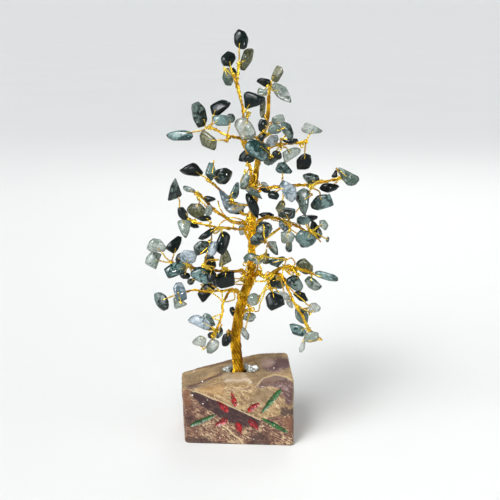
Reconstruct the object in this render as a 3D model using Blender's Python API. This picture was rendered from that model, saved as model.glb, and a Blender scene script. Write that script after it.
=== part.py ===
"""Gemstone-chip tree: drilled moss-agate chips on twisted gold wire, standing in a carved stone block.

Metres, +Z up, front towards -Y. The origin is the middle of the block's underside.
"""

import math
import random
from collections import namedtuple

import bmesh
import bpy
import numpy as np
from mathutils import Matrix, Vector

# Driving sizes
BLOCK_WIDTH = 0.0685
BLOCK_DEPTH = 0.046
BLOCK_SKEW = 0.003  # how far the back edge lies to the left of the front edge
BLOCK_SWING = 0.0044  # how much farther forward the right side lies than the left side
BLOCK_FORWARD = 0.001  # how far the middle of the block lies in front of the trunk
BLOCK_MIDDLE = 0.00175  # x of the middle of the front edge
BLOCK_BATTER = 0.0016  # how far the left side draws in towards the underside
BLOCK_CORNER = 0.0035  # corner radius in plan
BLOCK_EDGE = 0.0012  # rounding of the top and bottom edges
FRONT_LEFT_HEIGHT = 0.035
FRONT_RIGHT_HEIGHT = 0.040
BACK_LEFT_HEIGHT = 0.0302
BACK_RIGHT_HEIGHT = 0.045
SEAT_HEIGHT = 0.039  # level seat that the trunk and the glue bed stand on
SEAT_RADIUS = 0.0125
ROUGHNESS = 0.0005  # unevenness of the stone
CUT_DEPTH = 0.0011  # of the flower in the front face

FOOT_X = 0.002
TRUNK_FOOT_DIAMETER = 0.0072
TRUNK_TOP_DIAMETER = 0.0018
HOLE_CLEARANCE = 0.0018  # between the trunk and the wall of its hole
HOLE_DEPTH = 0.012
BED_HEIGHT = 0.0031
BED_WIDTH = 0.0058
GAP = 0.0003  # between neighbouring solids

TREE_RISE = 0.209  # from the seat to the topmost chip
WIRE = 0.0004  # diameter of a single wire
TWIG_DIAMETER = 2.1 * WIRE
STEM_DIAMETER = 3.4 * WIRE
KNOT_DIAMETER = 5 * WIRE  # where a stem parts into its twigs
CHIP_THICKNESS = 0.0037
HOLE_REACH = 0.42  # of the chip's half length or width, from its middle to its hole at most

# Front view that the tree is laid out on: steps across from its middle line, up from the seat and
# back from the trunk. It is seen from a raised eye, as a maker looks at the tree on a bench.
STEP = TREE_RISE / 342
SIGHT_LENGTH = 1050  # steps from the eye to the drawing plane
SIGHT_DIP = math.radians(13.5)
SIGHT_UP = 121  # height on the front view that the line of sight meets
EYE_DISTANCE = 1014.5 * STEP
FOOT_ACROSS = -11
CLEARANCE = GAP / STEP + 0.7  # least distance between chips and wires, in steps
LONGEST_STRETCH = 24  # more than any stretch of wire or chip covers on the front view
STONE_SEED = 5
CHIP_SEED = 300
DEPTH_SEED = 82

Chip = namedtuple("Chip", "across up length width turn shape")
Sprig = namedtuple("Sprig", "branch share joint chips")

TRUNK_ROUTE = [
    (-11, 0, 0), (-14, 36, -1), (-7, 71, -2), (1, 99, -3), (2, 125, -3), (4, 171, -1),
    (8, 213, 1), (13, 235, 2), (18, 256, 4), (19, 276, 5),
]

# Each branch: what it leaves, at what share of that, thickness in wires, then its route
BRANCHES = {
    "leader_left": ("trunk", 0.69, 4.5, [(-2, 214, -10), (-5, 238, -14), (-7, 262, -12), (-13, 290, -9)]),
    "upper_left": ("leader_left", 0.42, 3.2, [(-18, 235, -20), (-27, 238, -17), (-36, 243, -12)]),
    "upper_right": ("trunk", 0.8, 3.6, [(26, 226, -4), (40, 228, -8), (54, 229, -8)]),
    "right_long": ("trunk", 0.665, 5, [(20, 184, -10), (42, 186, -12), (62, 187, -2), (90, 193, 6)]),
    "left_upper": ("trunk", 0.56, 4, [(-10, 160, 14), (-18, 168, 22), (-29, 181, 24), (-40, 190, 20)]),
    "left_mid": ("trunk", 0.535, 5.5, [(-15, 149, -14), (-26, 155, -18), (-38, 164, -18), (-50, 177, -14)]),
    "left_mid_low": (
        "trunk", 0.51, 3.6, [(-18, 143, -22), (-32, 144, -32), (-50, 148, -34), (-64, 154, -28)]),
    "right_mid": ("trunk", 0.545, 5, [(18, 154, 8), (34, 151, 16), (48, 145, 14), (58, 139, 8)]),
    "left_low": ("trunk", 0.365, 5, [(-18, 100, -16), (-38, 101, -20), (-58, 104, -14), (-76, 108, -4)]),
    "left_out": ("trunk", 0.29, 4, [(-22, 81, 12), (-42, 80, 24), (-58, 81, 24), (-72, 77, 16)]),
    "left_down": ("trunk", 0.275, 4, [(-19, 80, -18), (-26, 70, -28), (-28, 56, -32), (-33, 42, -32)]),
    "right_low": ("trunk", 0.375, 6, [(16, 95, -18), (30, 103, -26), (42, 104, -26), (60, 99, -18)]),
    "right_down": ("right_low", 0.5, 4, [(37, 86, -38), (42, 73, -44), (51, 58, -46), (58, 44, -42)]),
}

# Outline letters: o is oval, t tapers to a point at its turn, b is blocky, g is three-cornered
SPRIGS = {
    "crown_left_high": Sprig("leader_left", 1.0, (-11, 307, -9), [
        Chip(-9, 332, 21, 15, 100, "o"), Chip(-3, 313, 24, 11, 71, "o")]),
    "crown_left_low": Sprig("leader_left", 0.86, (-16, 296, 4), [
        Chip(-22, 312, 17, 14, 60, "b"), Chip(-22, 295, 18, 12, 100, "b"), Chip(-16, 300, 9, 5, 120, "o")]),
    "leader_middle": Sprig("leader_left", 0.62, (-1, 258, -20), [
        Chip(3, 270, 22, 19, -24, "g"), Chip(-4, 242, 25, 17, -60, "b")]),
    "crown_right": Sprig("trunk", 1.0, (20, 283, 5), [
        Chip(13, 280, 10, 9, 0, "b"), Chip(15, 289, 16, 9, -15, "o"), Chip(27, 297, 17, 10, 60, "b"),
        Chip(33, 278, 26, 14, -48, "t"), Chip(13, 264, 21, 6, 88, "o")]),
    "upper_left_out": Sprig("upper_left", 1.0, (-40, 244, -8), [
        Chip(-69, 236, 29, 11, 178, "o"), Chip(-50, 256, 26, 16, 106, "b"), Chip(-30, 264, 22, 15, 25, "o"),
        Chip(-28, 251, 20, 11, 0, "b")]),
    "upper_left_in": Sprig("upper_left", 0.45, (-23, 231, -26), [
        Chip(-41, 231, 24, 17, -55, "o"), Chip(-19, 253, 10, 10, 0, "o")]),
    "upper_front": Sprig("leader_left", 0.2, (1, 214, -26), [
        Chip(8, 221, 27, 18, -35, "b"), Chip(-1, 213, 13, 9, 0, "o")]),
    "upper_core": Sprig("trunk", 0.86, (21, 239, -24), [
        Chip(13, 247, 13, 10, 90, "b"), Chip(12, 234, 9, 6, 40, "o"), Chip(29, 252, 14, 10, 10, "b"),
        Chip(26, 243, 14, 11, 20, "o")]),
    "upper_right_in": Sprig("upper_right", 0.5, (31, 227, -22), [
        Chip(39, 239, 20, 11, -60, "t"), Chip(41, 230, 16, 7, 0, "g"), Chip(23, 230, 15, 11, 55, "o"),
        Chip(41, 217, 21, 12, 30, "o"), Chip(27, 216, 10, 10, 0, "b"), Chip(18, 211, 12, 10, -60, "o")]),
    "upper_right_out": Sprig("upper_right", 1.0, (56, 230, -8), [
        Chip(63, 242, 22, 11, -12, "t"), Chip(54, 209, 17, 15, -100, "b")]),
    "right_long_tip": Sprig("right_long", 1.0, (93, 194, 8), [
        Chip(97, 196, 25, 15, 140, "t"), Chip(79, 184, 21, 10, 5, "o"), Chip(86, 197, 9, 6, 60, "g")]),
    "right_long_middle": Sprig("right_long", 0.62, (61, 184, -12), [
        Chip(61, 193, 17, 11, 0, "b"), Chip(73, 170, 24, 15, 15, "b"), Chip(53, 169, 30, 16, -88, "t")]),
    "right_long_in": Sprig("right_long", 0.3, (33, 186, -26), [
        Chip(38, 182, 23, 15, 115, "o"), Chip(31, 165, 14, 8, 60, "o"), Chip(24, 176, 11, 10, 0, "o"),
        Chip(33, 203, 17, 13, -50, "g"), Chip(16, 181, 11, 5, -15, "o")]),
    "trunk_left": Sprig("trunk", 0.64, (0, 186, -26), [
        Chip(4, 179, 22, 7, -30, "o"), Chip(-5, 190, 17, 9, 80, "b"), Chip(3, 166, 29, 10, -65, "o"),
        Chip(15, 187, 9, 5, -20, "o")]),
    "left_upper_tip": Sprig("left_upper", 1.0, (-42, 192, 18), [
        Chip(-58, 202, 24, 14, 175, "g"), Chip(-39, 200, 18, 10, 80, "b"), Chip(-27, 196, 20, 18, 20, "o")]),
    "left_upper_in": Sprig("left_upper", 0.5, (-18, 171, 8), [
        Chip(-14, 182, 18, 9, 75, "t"), Chip(-24, 172, 22, 12, 125, "t"), Chip(-14, 163, 22, 10, 20, "o")]),
    "left_mid_tip": Sprig("left_mid", 1.0, (-53, 178, -18), [
        Chip(-61, 182, 15, 6, -20, "o"), Chip(-41, 172, 12, 7, -15, "g"), Chip(-53, 161, 20, 15, -30, "b"),
        Chip(-41, 161, 12, 8, 80, "o")]),
    "left_mid_low_tip": Sprig("left_mid_low", 1.0, (-67, 157, -26), [
        Chip(-74, 180, 24, 14, 75, "g"), Chip(-67, 158, 15, 10, -60, "o"), Chip(-65, 143, 19, 15, -85, "t"),
        Chip(-55, 146, 11, 6, -10, "o")]),
    "left_mid_low_in": Sprig("left_mid_low", 0.55, (-38, 140, -42), [
        Chip(-45, 153, 15, 6, 5, "o"), Chip(-43, 137, 20, 7, 35, "o"), Chip(-27, 129, 24, 13, 75, "b"),
        Chip(-37, 123, 15, 9, 80, "b")]),
    "right_mid_tip": Sprig("right_mid", 1.0, (60, 140, 6), [
        Chip(59, 153, 22, 9, 8, "t"), Chip(66, 141, 20, 11, -60, "o"), Chip(74, 147, 12, 9, -70, "o"),
        Chip(56, 132, 20, 15, -30, "b"), Chip(54, 151, 14, 9, 0, "o"), Chip(78, 132, 6, 4, 90, "o")]),
    "right_mid_in": Sprig("right_mid", 0.5, (40, 146, 4), [
        Chip(36, 158, 15, 9, 0, "b"), Chip(34, 146, 14, 11, -40, "o"), Chip(38, 134, 14, 12, 0, "b"),
        Chip(39, 124, 10, 7, 90, "b")]),
    "centre_high": Sprig("trunk", 0.49, (15, 130, -26), [
        Chip(15, 141, 17, 15, 0, "o"), Chip(7, 132, 15, 12, 30, "b"), Chip(24, 123, 17, 9, -65, "t"),
        Chip(14, 148, 11, 4, 0, "o")]),
    "centre_low": Sprig("trunk", 0.41, (12, 115, -30), [
        Chip(1, 114, 14, 9, 10, "o"), Chip(16, 113, 12, 8, 90, "b"), Chip(8, 110, 9, 6, 0, "o"),
        Chip(27, 109, 17, 10, 20, "g")]),
    "left_low_tip": Sprig("left_low", 1.0, (-78, 109, -2), [
        Chip(-94, 126, 20, 14, 5, "b"), Chip(-96, 111, 16, 15, 60, "b"), Chip(-75, 127, 20, 12, 50, "b")]),
    "left_low_out": Sprig("left_low", 0.78, (-62, 107, -20), [
        Chip(-62, 115, 17, 14, -20, "b"), Chip(-71, 113, 11, 6, 70, "o"), Chip(-74, 102, 25, 14, 25, "b"),
        Chip(-65, 96, 11, 7, 0, "b"), Chip(-59, 90, 8, 7, 30, "o")]),
    "left_low_middle": Sprig("left_low", 0.5, (-46, 106, -28), [
        Chip(-49, 123, 19, 15, 40, "o"), Chip(-48, 96, 24, 17, -15, "o"), Chip(-40, 109, 16, 12, 100, "b"),
        Chip(-38, 96, 13, 9, 70, "o")]),
    "left_low_in": Sprig("left_low", 0.28, (-26, 103, -30), [
        Chip(-24, 113, 19, 13, 80, "g"), Chip(-24, 92, 23, 17, 15, "b")]),
    "left_out_tip": Sprig("left_out", 1.0, (-73, 76, 2), [
        Chip(-70, 80, 21, 12, -70, "b"), Chip(-71, 67, 16, 11, -30, "g"), Chip(-88, 70, 21, 14, -60, "b")]),
    "left_out_in": Sprig("left_out", 0.5, (-44, 84, 30), [
        Chip(-44, 80, 21, 12, 50, "b"), Chip(-50, 97, 18, 13, -10, "o"), Chip(-30, 92, 18, 12, 40, "b")]),
    "left_down_tip": Sprig("left_down", 1.0, (-34, 39, -32), [
        Chip(-50, 50, 25, 11, -25, "b"), Chip(-40, 51, 16, 9, -50, "t"), Chip(-50, 30, 15, 13, 0, "b"),
        Chip(-37, 26, 16, 12, 60, "o"), Chip(-38, 36, 8, 7, 0, "o"), Chip(-30, 38, 12, 6, 70, "o")]),
    "foot_left": Sprig("trunk", 0.14, (-21, 40, -6), [Chip(-23, 32, 14, 10, 80, "b")]),
    "low_back": Sprig("trunk", 0.22, (0, 62, 20), [
        Chip(-17, 60, 11, 6, -70, "o"), Chip(-5, 38, 15, 7, -60, "o"), Chip(0, 54, 13, 10, 0, "o")]),
    "right_low_hang": Sprig("right_low", 0.25, (20, 84, -24), [
        Chip(4, 72, 15, 13, 30, "o"), Chip(25, 69, 20, 19, -20, "g"), Chip(30, 76, 20, 10, -10, "o")]),
    "right_low_in": Sprig("right_low", 0.42, (30, 96, -8), [
        Chip(23, 90, 17, 8, 85, "o"), Chip(32, 89, 13, 9, 60, "b"), Chip(40, 68, 11, 6, -60, "o")]),
    "right_low_tip": Sprig("right_low", 1.0, (62, 98, -16), [
        Chip(77, 95, 25, 8, -15, "o"), Chip(63, 87, 19, 11, -40, "b"), Chip(55, 105, 19, 14, -40, "o")]),
    "right_low_out": Sprig("right_low", 0.72, (48, 97, -34), [
        Chip(45, 89, 19, 14, -40, "b"), Chip(51, 75, 16, 10, -20, "o")]),
    "right_down_middle": Sprig("right_down", 0.6, (52, 62, -36), [
        Chip(65, 64, 13, 11, 0, "o"), Chip(52, 56, 19, 14, -60, "o")]),
    "right_down_tip": Sprig("right_down", 1.0, (59, 42, -42), [
        Chip(48, 41, 19, 12, -25, "o"), Chip(62, 34, 15, 12, 0, "b"), Chip(53, 27, 15, 6, 75, "t")]),
    "back_high": Sprig("trunk", 0.74, (8, 212, 34), [
        Chip(10, 224, 20, 14, -20, "b"), Chip(-4, 216, 16, 11, 40, "o"), Chip(22, 212, 18, 11, 10, "g")]),
    "back_middle": Sprig("trunk", 0.58, (2, 168, 44), [
        Chip(14, 141, 19, 13, 30, "b"), Chip(-14, 163, 19, 13, -30, "o"), Chip(-7, 142, 12, 9, 80, "o")]),
    "back_right": Sprig("trunk", 0.47, (34, 146, 46), [
        Chip(56, 132, 19, 13, 60, "o"), Chip(36, 158, 18, 12, 0, "b"), Chip(53, 169, 20, 13, -70, "t"),
        Chip(16, 156, 16, 7, 0, "o")]),
    "back_low": Sprig("trunk", 0.34, (-8, 92, 46), [
        Chip(-24, 93, 20, 14, 40, "o"), Chip(4, 113, 18, 11, 10, "b"), Chip(25, 90, 18, 12, -60, "t")]),
}

# Where points lie along each rounded corner and each side of the block's plan
CORNER_SHARES = (0, 1 / 3, 2 / 3, 1)
SIDE_SHARES = (0.25, 0.5, 0.75)

# Outlines of the chips, in half lengths and half widths
OUTLINES = {
    "o": [(1, 0), (0.6, 0.72), (-0.1, 0.98), (-0.8, 0.6), (-1, -0.15), (-0.5, -0.85), (0.4, -0.92)],
    "t": [(1, 0), (0.25, 0.62), (-0.5, 1), (-0.95, 0.62), (-1, -0.3), (-0.62, -0.95), (0.3, -0.6)],
    "b": [(0.98, 0.35), (0.62, 0.95), (-0.6, 0.92), (-1, 0.45), (-0.86, -0.72), (-0.1, -1), (0.85, -0.72)],
    "g": [(1, -0.35), (0.45, 0.4), (-0.05, 1), (-0.35, 0.85), (-1, -0.55), (-0.75, -0.95), (0.8, -0.85)],
}

# Cuts of the flower, from the flower's middle in millimetres: start, end, width
FLOWER_MIDDLE = (0.0012, 0.0191)
PETALS = [
    ((-5.2, 2.2), (-12.5, 9.4), 3.9), ((-0.7, 5.8), (-3.7, 14.5), 3.4), ((6.3, 3.0), (13.7, 7.9), 3.6),
    ((-6.0, -2.3), (-13.6, -7.3), 4.0), ((-0.2, -4.5), (2.4, -12.2), 4.0), ((7.1, -2.3), (13.2, -9.2), 4.2),
]
LEAVES = [
    ((-12.3, 0.5), (-29.4, -7.9), 3.0), ((14.2, -1.2), (31.0, -10.4), 3.2), ((14.7, 1.6), (26.8, 16.3), 3.8),
]
PETAL_FULLEST = 0.3  # share of a petal's length at which it is widest
LEAF_FULLEST = 0.68


# Front view

def sight(across, up):
    """Direction in which the eye sees a place on the front view."""
    rise = up - SIGHT_UP
    return Vector((
        across,
        SIGHT_LENGTH * math.cos(SIGHT_DIP) + rise * math.sin(SIGHT_DIP),
        rise * math.cos(SIGHT_DIP) - SIGHT_LENGTH * math.sin(SIGHT_DIP),
    ))


FOOT = Vector((FOOT_X, 0, SEAT_HEIGHT))
EYE = FOOT - sight(FOOT_ACROSS, 0) * (EYE_DISTANCE / sight(FOOT_ACROSS, 0).y)
VIEW_RIGHT = Vector((1, 0, 0))
VIEW_UP = Vector((0, math.sin(SIGHT_DIP), math.cos(SIGHT_DIP)))
VIEW_DEPTH = Vector((0, math.cos(SIGHT_DIP), -math.sin(SIGHT_DIP)))


def seen(across, up, back):
    """The point that far back that the front view shows there, and the length of a step there."""
    ray = sight(across, up)
    reach = (EYE_DISTANCE + back * STEP) / ray.y
    return EYE + ray * reach, reach


def place_of(point):
    """Place on the front view where a point is seen."""
    ray = point - EYE
    step = ray.dot(VIEW_DEPTH) / SIGHT_LENGTH
    return ray.dot(VIEW_RIGHT) / step, SIGHT_UP + ray.dot(VIEW_UP) / step


# Routes

def smooth(points, per_span=4):
    """Points along a smooth curve through the given ones."""
    pts = np.array(points, float)
    ends = np.vstack([2 * pts[0] - pts[1], pts, 2 * pts[-1] - pts[-2]])
    out = []
    for i in range(1, len(ends) - 2):
        a, b, c, d = ends[i - 1:i + 3]
        for t in np.arange(per_span) / per_span:
            out.append(0.5 * (2 * b + (c - a) * t + (2 * a - 5 * b + 4 * c - d) * t**2
                              + (3 * b - a - 3 * c + d) * t**3))
    return np.array(out + [pts[-1]])


def along(route, share):
    """Point of a route at a share of its length."""
    lengths = np.concatenate([[0], np.cumsum(np.linalg.norm(np.diff(route, axis=0), axis=1))])
    return np.array([np.interp(share * lengths[-1], lengths, route[:, k]) for k in range(3)])


def trunk_radius(share):
    foot, top = TRUNK_FOOT_DIAMETER / 2, TRUNK_TOP_DIAMETER / 2
    return top + (foot - top) * (1 - share) ** 1.15


def branch_radius(name, share):
    foot = BRANCHES[name][2] * WIRE / 2
    return foot * (1 - 0.4 * share)


def radius_on(name, share):
    return trunk_radius(share) if name == "trunk" else branch_radius(name, share)


def leave(parent, route, share, towards, radius):
    """Where a wire of this radius starts beside its parent's route, clear of it by the gap."""
    root = along(route, share)
    ahead = along(route, min(share + 0.02, 1)) - along(route, max(share - 0.02, 0))
    ahead /= np.linalg.norm(ahead)
    aside = np.array(towards, float) - root
    if share < 1:
        aside -= ahead * aside.dot(ahead)
    aside /= np.linalg.norm(aside)
    out = GAP + 0.9 * radius + (radius_on(parent, share) if share < 1 else 0.4 * radius)
    return root + aside * out / STEP


def lay_routes():
    """The front-view route of the trunk and of every branch."""
    routes = {"trunk": smooth(TRUNK_ROUTE)}
    for name, (parent, share, _, route) in BRANCHES.items():
        start = leave(parent, routes[parent], share, route[0], branch_radius(name, 0))
        routes[name] = smooth([start, *route])
    return routes


# Chips

def chip_points(chip, number, back):
    """Corner points of a chip in the world, then its middle, its half length and its half width."""
    draw = random.Random(CHIP_SEED + number)
    middle, step = seen(chip.across, chip.up, back)
    turn, tip = math.radians(chip.turn), math.radians(draw.uniform(-16, 16))
    roll = math.radians(draw.uniform(-30, 30))
    flat = VIEW_RIGHT * math.cos(turn) + VIEW_UP * math.sin(turn)
    long = flat * math.cos(tip) + VIEW_DEPTH * math.sin(tip)
    wide = Matrix.Rotation(roll, 3, long) @ VIEW_DEPTH.cross(flat)
    face = long.cross(wide)
    half_long, half_wide = chip.length * step / 2, chip.width * step / 2
    half_thick = min(CHIP_THICKNESS * draw.uniform(0.42, 0.6), 0.85 * half_wide)
    points = []
    for a, b in OUTLINES[chip.shape]:
        swell = draw.uniform(0.93, 1.03)
        lift = draw.uniform(-0.3, 0.3) * half_thick
        points.append(middle + long * half_long * a * swell + wide * half_wide * b * swell + face * lift)
    for side in (-1, 1):
        a, b = draw.uniform(-0.45, 0.45), draw.uniform(-0.35, 0.35)
        points.append(middle + long * half_long * a + wide * half_wide * b + face * side * half_thick)
    return points, middle, long * half_long, wide * half_wide


def hole(middle, half_long, half_wide, joint):
    """Where the drilled hole lies in a chip's plane, on the joint's side of its middle."""
    towards = joint - middle
    a = towards.dot(half_long) / half_long.length_squared
    b = towards.dot(half_wide) / half_wide.length_squared
    reach = min(0.6, HOLE_REACH / max(abs(a), abs(b), 0.001))
    return middle + (half_long * a + half_wide * b) * reach


# Spacing in depth

class Layout:
    """Short stretches of every wire and chip on the front view, with what moves each back or forward."""

    def __init__(self):
        self.ends, self.radii, self.deep, self.base = [], [], [], []
        self.owner, self.own, self.wire, self.movers = [], [], [], []
        self.backs = []

    def variable(self, back):
        self.backs.append(back)
        return len(self.backs) - 1

    def add(self, a, b, radius, deep, owner, own, wire, movers):
        self.ends.append((a[:2], b[:2]))
        self.radii.append(radius)
        self.deep.append(deep)
        self.base.append((a[2] + b[2]) / 2)
        self.owner.append(owner)
        self.own.append(own)
        self.wire.append(wire)
        self.movers.append((list(movers) + [(-1, 0.0)] * 2)[:2])

    def add_wire(self, points, radius, owner, own, movers_at=None, longest=3):
        for i in range(len(points) - 1):
            a, b = np.array(points[i], float), np.array(points[i + 1], float)
            parts = max(1, math.ceil(np.linalg.norm((b - a)[:2]) / longest))
            for k in range(parts):
                one, two = a + (b - a) * k / parts, a + (b - a) * (k + 1) / parts
                share = (i + (k + 0.5) / parts) / (len(points) - 1)
                movers = movers_at(share) if movers_at else []
                deep = radius + abs(two[2] - one[2]) / 2
                self.add(one, two, radius, deep, owner, own, True, movers)

    def close_pairs(self):
        """Pairs that meet on the front view and so have to be kept apart in depth."""
        ends, radii = np.array(self.ends), np.array(self.radii)
        shares = np.linspace(0, 1, 5)[:, None]
        dots = ends[:, None, 0] + (ends[:, None, 1] - ends[:, None, 0]) * shares
        owner = np.unique(self.owner, return_inverse=True)[1]
        names = {name: n for n, name in enumerate(sorted(set(self.own) | set(self.owner)))}
        own = np.array([names[name] for name in self.own])
        holder = np.array([names[name] for name in self.owner])
        wire = np.array(self.wire)
        fixed = np.array([m[0][0] < 0 for m in self.movers])
        i, j = np.triu_indices(len(radii), 1)
        reach = radii[i] + radii[j] + CLEARANCE + LONGEST_STRETCH
        near = np.linalg.norm(dots[i, 2] - dots[j, 2], axis=1) < reach
        i, j = i[near], j[near]
        keep = ~(fixed[i] & fixed[j]) & (own[i] != own[j]) & (own[i] != holder[j]) & (own[j] != holder[i])
        keep &= ~((owner[i] == owner[j]) & wire[i] & wire[j])
        i, j = i[keep], j[keep]
        apart = np.linalg.norm(dots[i][:, :, None] - dots[j][:, None], axis=3).min(axis=(1, 2))
        meet = apart < radii[i] + radii[j] + CLEARANCE
        return i[meet], j[meet]

    def settle(self, rounds=600, homing=350, patience=0.02):
        """Depths at which nothing on the front view touches anything else, kept near home at first."""
        i, j = self.close_pairs()
        deep, base = np.array(self.deep), np.array(self.base)
        mover = np.array([[m[0] for m in pair] for pair in self.movers])
        weight = np.array([[m[1] for m in pair] for pair in self.movers])
        least = deep[i] + deep[j] + CLEARANCE
        moved = np.zeros(len(self.backs) + 1)
        for turn in range(rounds):
            at = base + (moved[mover] * weight).sum(axis=1)
            apart = at[j] - at[i]
            short = least - np.abs(apart)
            push = np.where(short > 0, short, 0) * np.where(apart >= 0, 1, -1)
            change, count = np.zeros(len(moved)), np.zeros(len(moved))
            for side, sign in ((i, -1), (j, 1)):
                for m in range(2):
                    share = weight[side, m] * (short > 0)
                    np.add.at(change, mover[side, m], sign * push * share)
                    np.add.at(count, mover[side, m], share)
            if short.max() < patience:
                break
            moved += 0.7 * change / np.maximum(count, 1) ** 0.75
            if turn < homing:
                moved *= 0.985
            moved[-1] = 0
        return np.array(self.backs) + moved[:-1]


def space_out(routes):
    """Depth of every joint and chip, in the order of the table: a joint, then its chips."""
    layout = Layout()
    for name, route in routes.items():
        for k in range(len(route) - 1):
            layout.add_wire(route[k:k + 2], radius_on(name, k / (len(route) - 1)) / STEP, name, name)
    number = 0
    draw = random.Random(DEPTH_SEED)
    for name, sprig in SPRIGS.items():
        joint = layout.variable(sprig.joint[2])
        root = leave(sprig.branch, routes[sprig.branch], sprig.share, sprig.joint, STEM_DIAMETER / 2)
        layout.add_wire([root, sprig.joint], STEM_DIAMETER / 2 / STEP, name, sprig.branch,
                        lambda share: [(joint, share)])
        for chip in sprig.chips:
            place = layout.variable(sprig.joint[2] + draw.uniform(-7, 7))
            back = layout.backs[place]
            turn = math.radians(chip.turn)
            ahead = np.array([math.cos(turn), math.sin(turn), 0]) * (chip.length - chip.width) / 2
            middle = np.array([chip.across, chip.up, back])
            points, *axes = chip_points(chip, number, back)
            depths = [point.y for point in points]
            deep = (max(depths) - min(depths)) / 2 / STEP
            end = place_of(hole(*axes, seen(*sprig.joint)[0]))
            own = f"chip {number}"
            layout.add(middle - ahead, middle + ahead, chip.width / 2, deep, name, own, False, [(place, 1)])
            layout.add_wire([sprig.joint, [*end, back]],
                            TWIG_DIAMETER / 2 / STEP, name, own,
                            lambda share: [(joint, 1 - share), (place, share)])
            number += 1
    return layout.settle()


# Solids

def material(name, colour, roughness, metallic=0.0):
    made = bpy.data.materials.new(name)
    made.use_nodes = True
    shader = made.node_tree.nodes["Principled BSDF"]
    shader.inputs["Base Color"].default_value = (*colour, 1)
    shader.inputs["Roughness"].default_value = roughness
    shader.inputs["Metallic"].default_value = metallic
    return made


def solid(name, bm, look):
    """An object of its own from a closed mesh, with its faces pointing out."""
    bmesh.ops.recalc_face_normals(bm, faces=bm.faces)
    mesh = bpy.data.meshes.new(name)
    bm.to_mesh(mesh)
    bm.free()
    mesh.materials.append(look)
    obj = bpy.data.objects.new(name, mesh)
    bpy.context.collection.objects.link(obj)
    return obj


def close_rings(bm, rings):
    """Faces between rings of as many points each, and a cap on each end."""
    loops = [[bm.verts.new(point) for point in ring] for ring in rings]
    for one, two in zip(loops, loops[1:]):
        for k in range(len(one)):
            n = (k + 1) % len(one)
            bm.faces.new((one[k], one[n], two[n], two[k]))
    bm.faces.new(loops[0][::-1])
    bm.faces.new(loops[-1])
    return loops


def tube(bm, points, radii, sides):
    """A closed tube along points."""
    points = [Vector(point) for point in points]
    ahead = [(points[min(i + 1, len(points) - 1)] - points[max(i - 1, 0)]).normalized()
             for i in range(len(points))]
    across = ahead[0].orthogonal().normalized()
    rings = []
    for i, point in enumerate(points):
        across = (across - ahead[i] * across.dot(ahead[i])).normalized()
        other = ahead[i].cross(across)
        angles = [math.tau * k / sides for k in range(sides)]
        rings.append([point + (across * math.cos(angle) + other * math.sin(angle)) * radii[i]
                      for angle in angles])
    close_rings(bm, rings)


def fuse(name, pieces, look):
    """One body from closed meshes that reach into each other."""
    base = solid(name, pieces[0], look)
    others = bpy.data.collections.new(name + " pieces")
    bpy.context.scene.collection.children.link(others)
    helpers = []
    for number, bm in enumerate(pieces[1:]):
        helper = solid(f"{name} piece {number}", bm, look)
        bpy.context.collection.objects.unlink(helper)
        others.objects.link(helper)
        helpers.append(helper)
    union = base.modifiers.new("union", "BOOLEAN")
    union.operation = "UNION"
    union.operand_type = "COLLECTION"
    union.collection = others
    graph = bpy.context.evaluated_depsgraph_get()
    joined = bpy.data.meshes.new_from_object(base.evaluated_get(graph))
    base.modifiers.clear()
    base.data = joined
    for helper in helpers:
        bpy.data.objects.remove(helper)
    bpy.data.collections.remove(others)
    return base


# Stone block

def unevenness(x, y, z):
    """Smooth seeded swelling of the stone, between about -1 and 1."""
    draw = random.Random(STONE_SEED)
    total = 0.0
    for size in (0.034, 0.021, 0.013, 0.0085):
        way = Vector((draw.uniform(-1, 1), draw.uniform(-1, 1), draw.uniform(-1, 1))).normalized()
        total += size * math.sin(math.tau * Vector((x, y, z)).dot(way) / size + draw.uniform(0, math.tau))
    return total / 0.05


def swing(x):
    """How far forward the block's skewed plan lies at a place across."""
    return BLOCK_SWING / BLOCK_WIDTH * (x - FOOT_X)


def top_height(x, y):
    """Height of the rough top, with the level seat round the trunk."""
    back = min(max((y + BLOCK_FORWARD + swing(x)) / BLOCK_DEPTH + 0.5, 0), 1)
    right = min(max((x - BLOCK_MIDDLE + BLOCK_SKEW * back) / BLOCK_WIDTH + 0.5, 0), 1)
    front_edge = FRONT_LEFT_HEIGHT + (FRONT_RIGHT_HEIGHT - FRONT_LEFT_HEIGHT) * right
    rise = math.sin(math.pi / 2 * right**1.15)
    back_edge = BACK_LEFT_HEIGHT + (BACK_RIGHT_HEIGHT - BACK_LEFT_HEIGHT) * rise
    height = front_edge + (back_edge - front_edge) * back
    from_foot = math.hypot(x - FOOT_X, y)
    blend = min(max((from_foot - SEAT_RADIUS) / (0.9 * SEAT_RADIUS), 0), 1)
    blend = blend * blend * (3 - 2 * blend)
    rough = height + ROUGHNESS * unevenness(x, y, 0)
    return SEAT_HEIGHT + (rough - SEAT_HEIGHT) * blend


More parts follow.
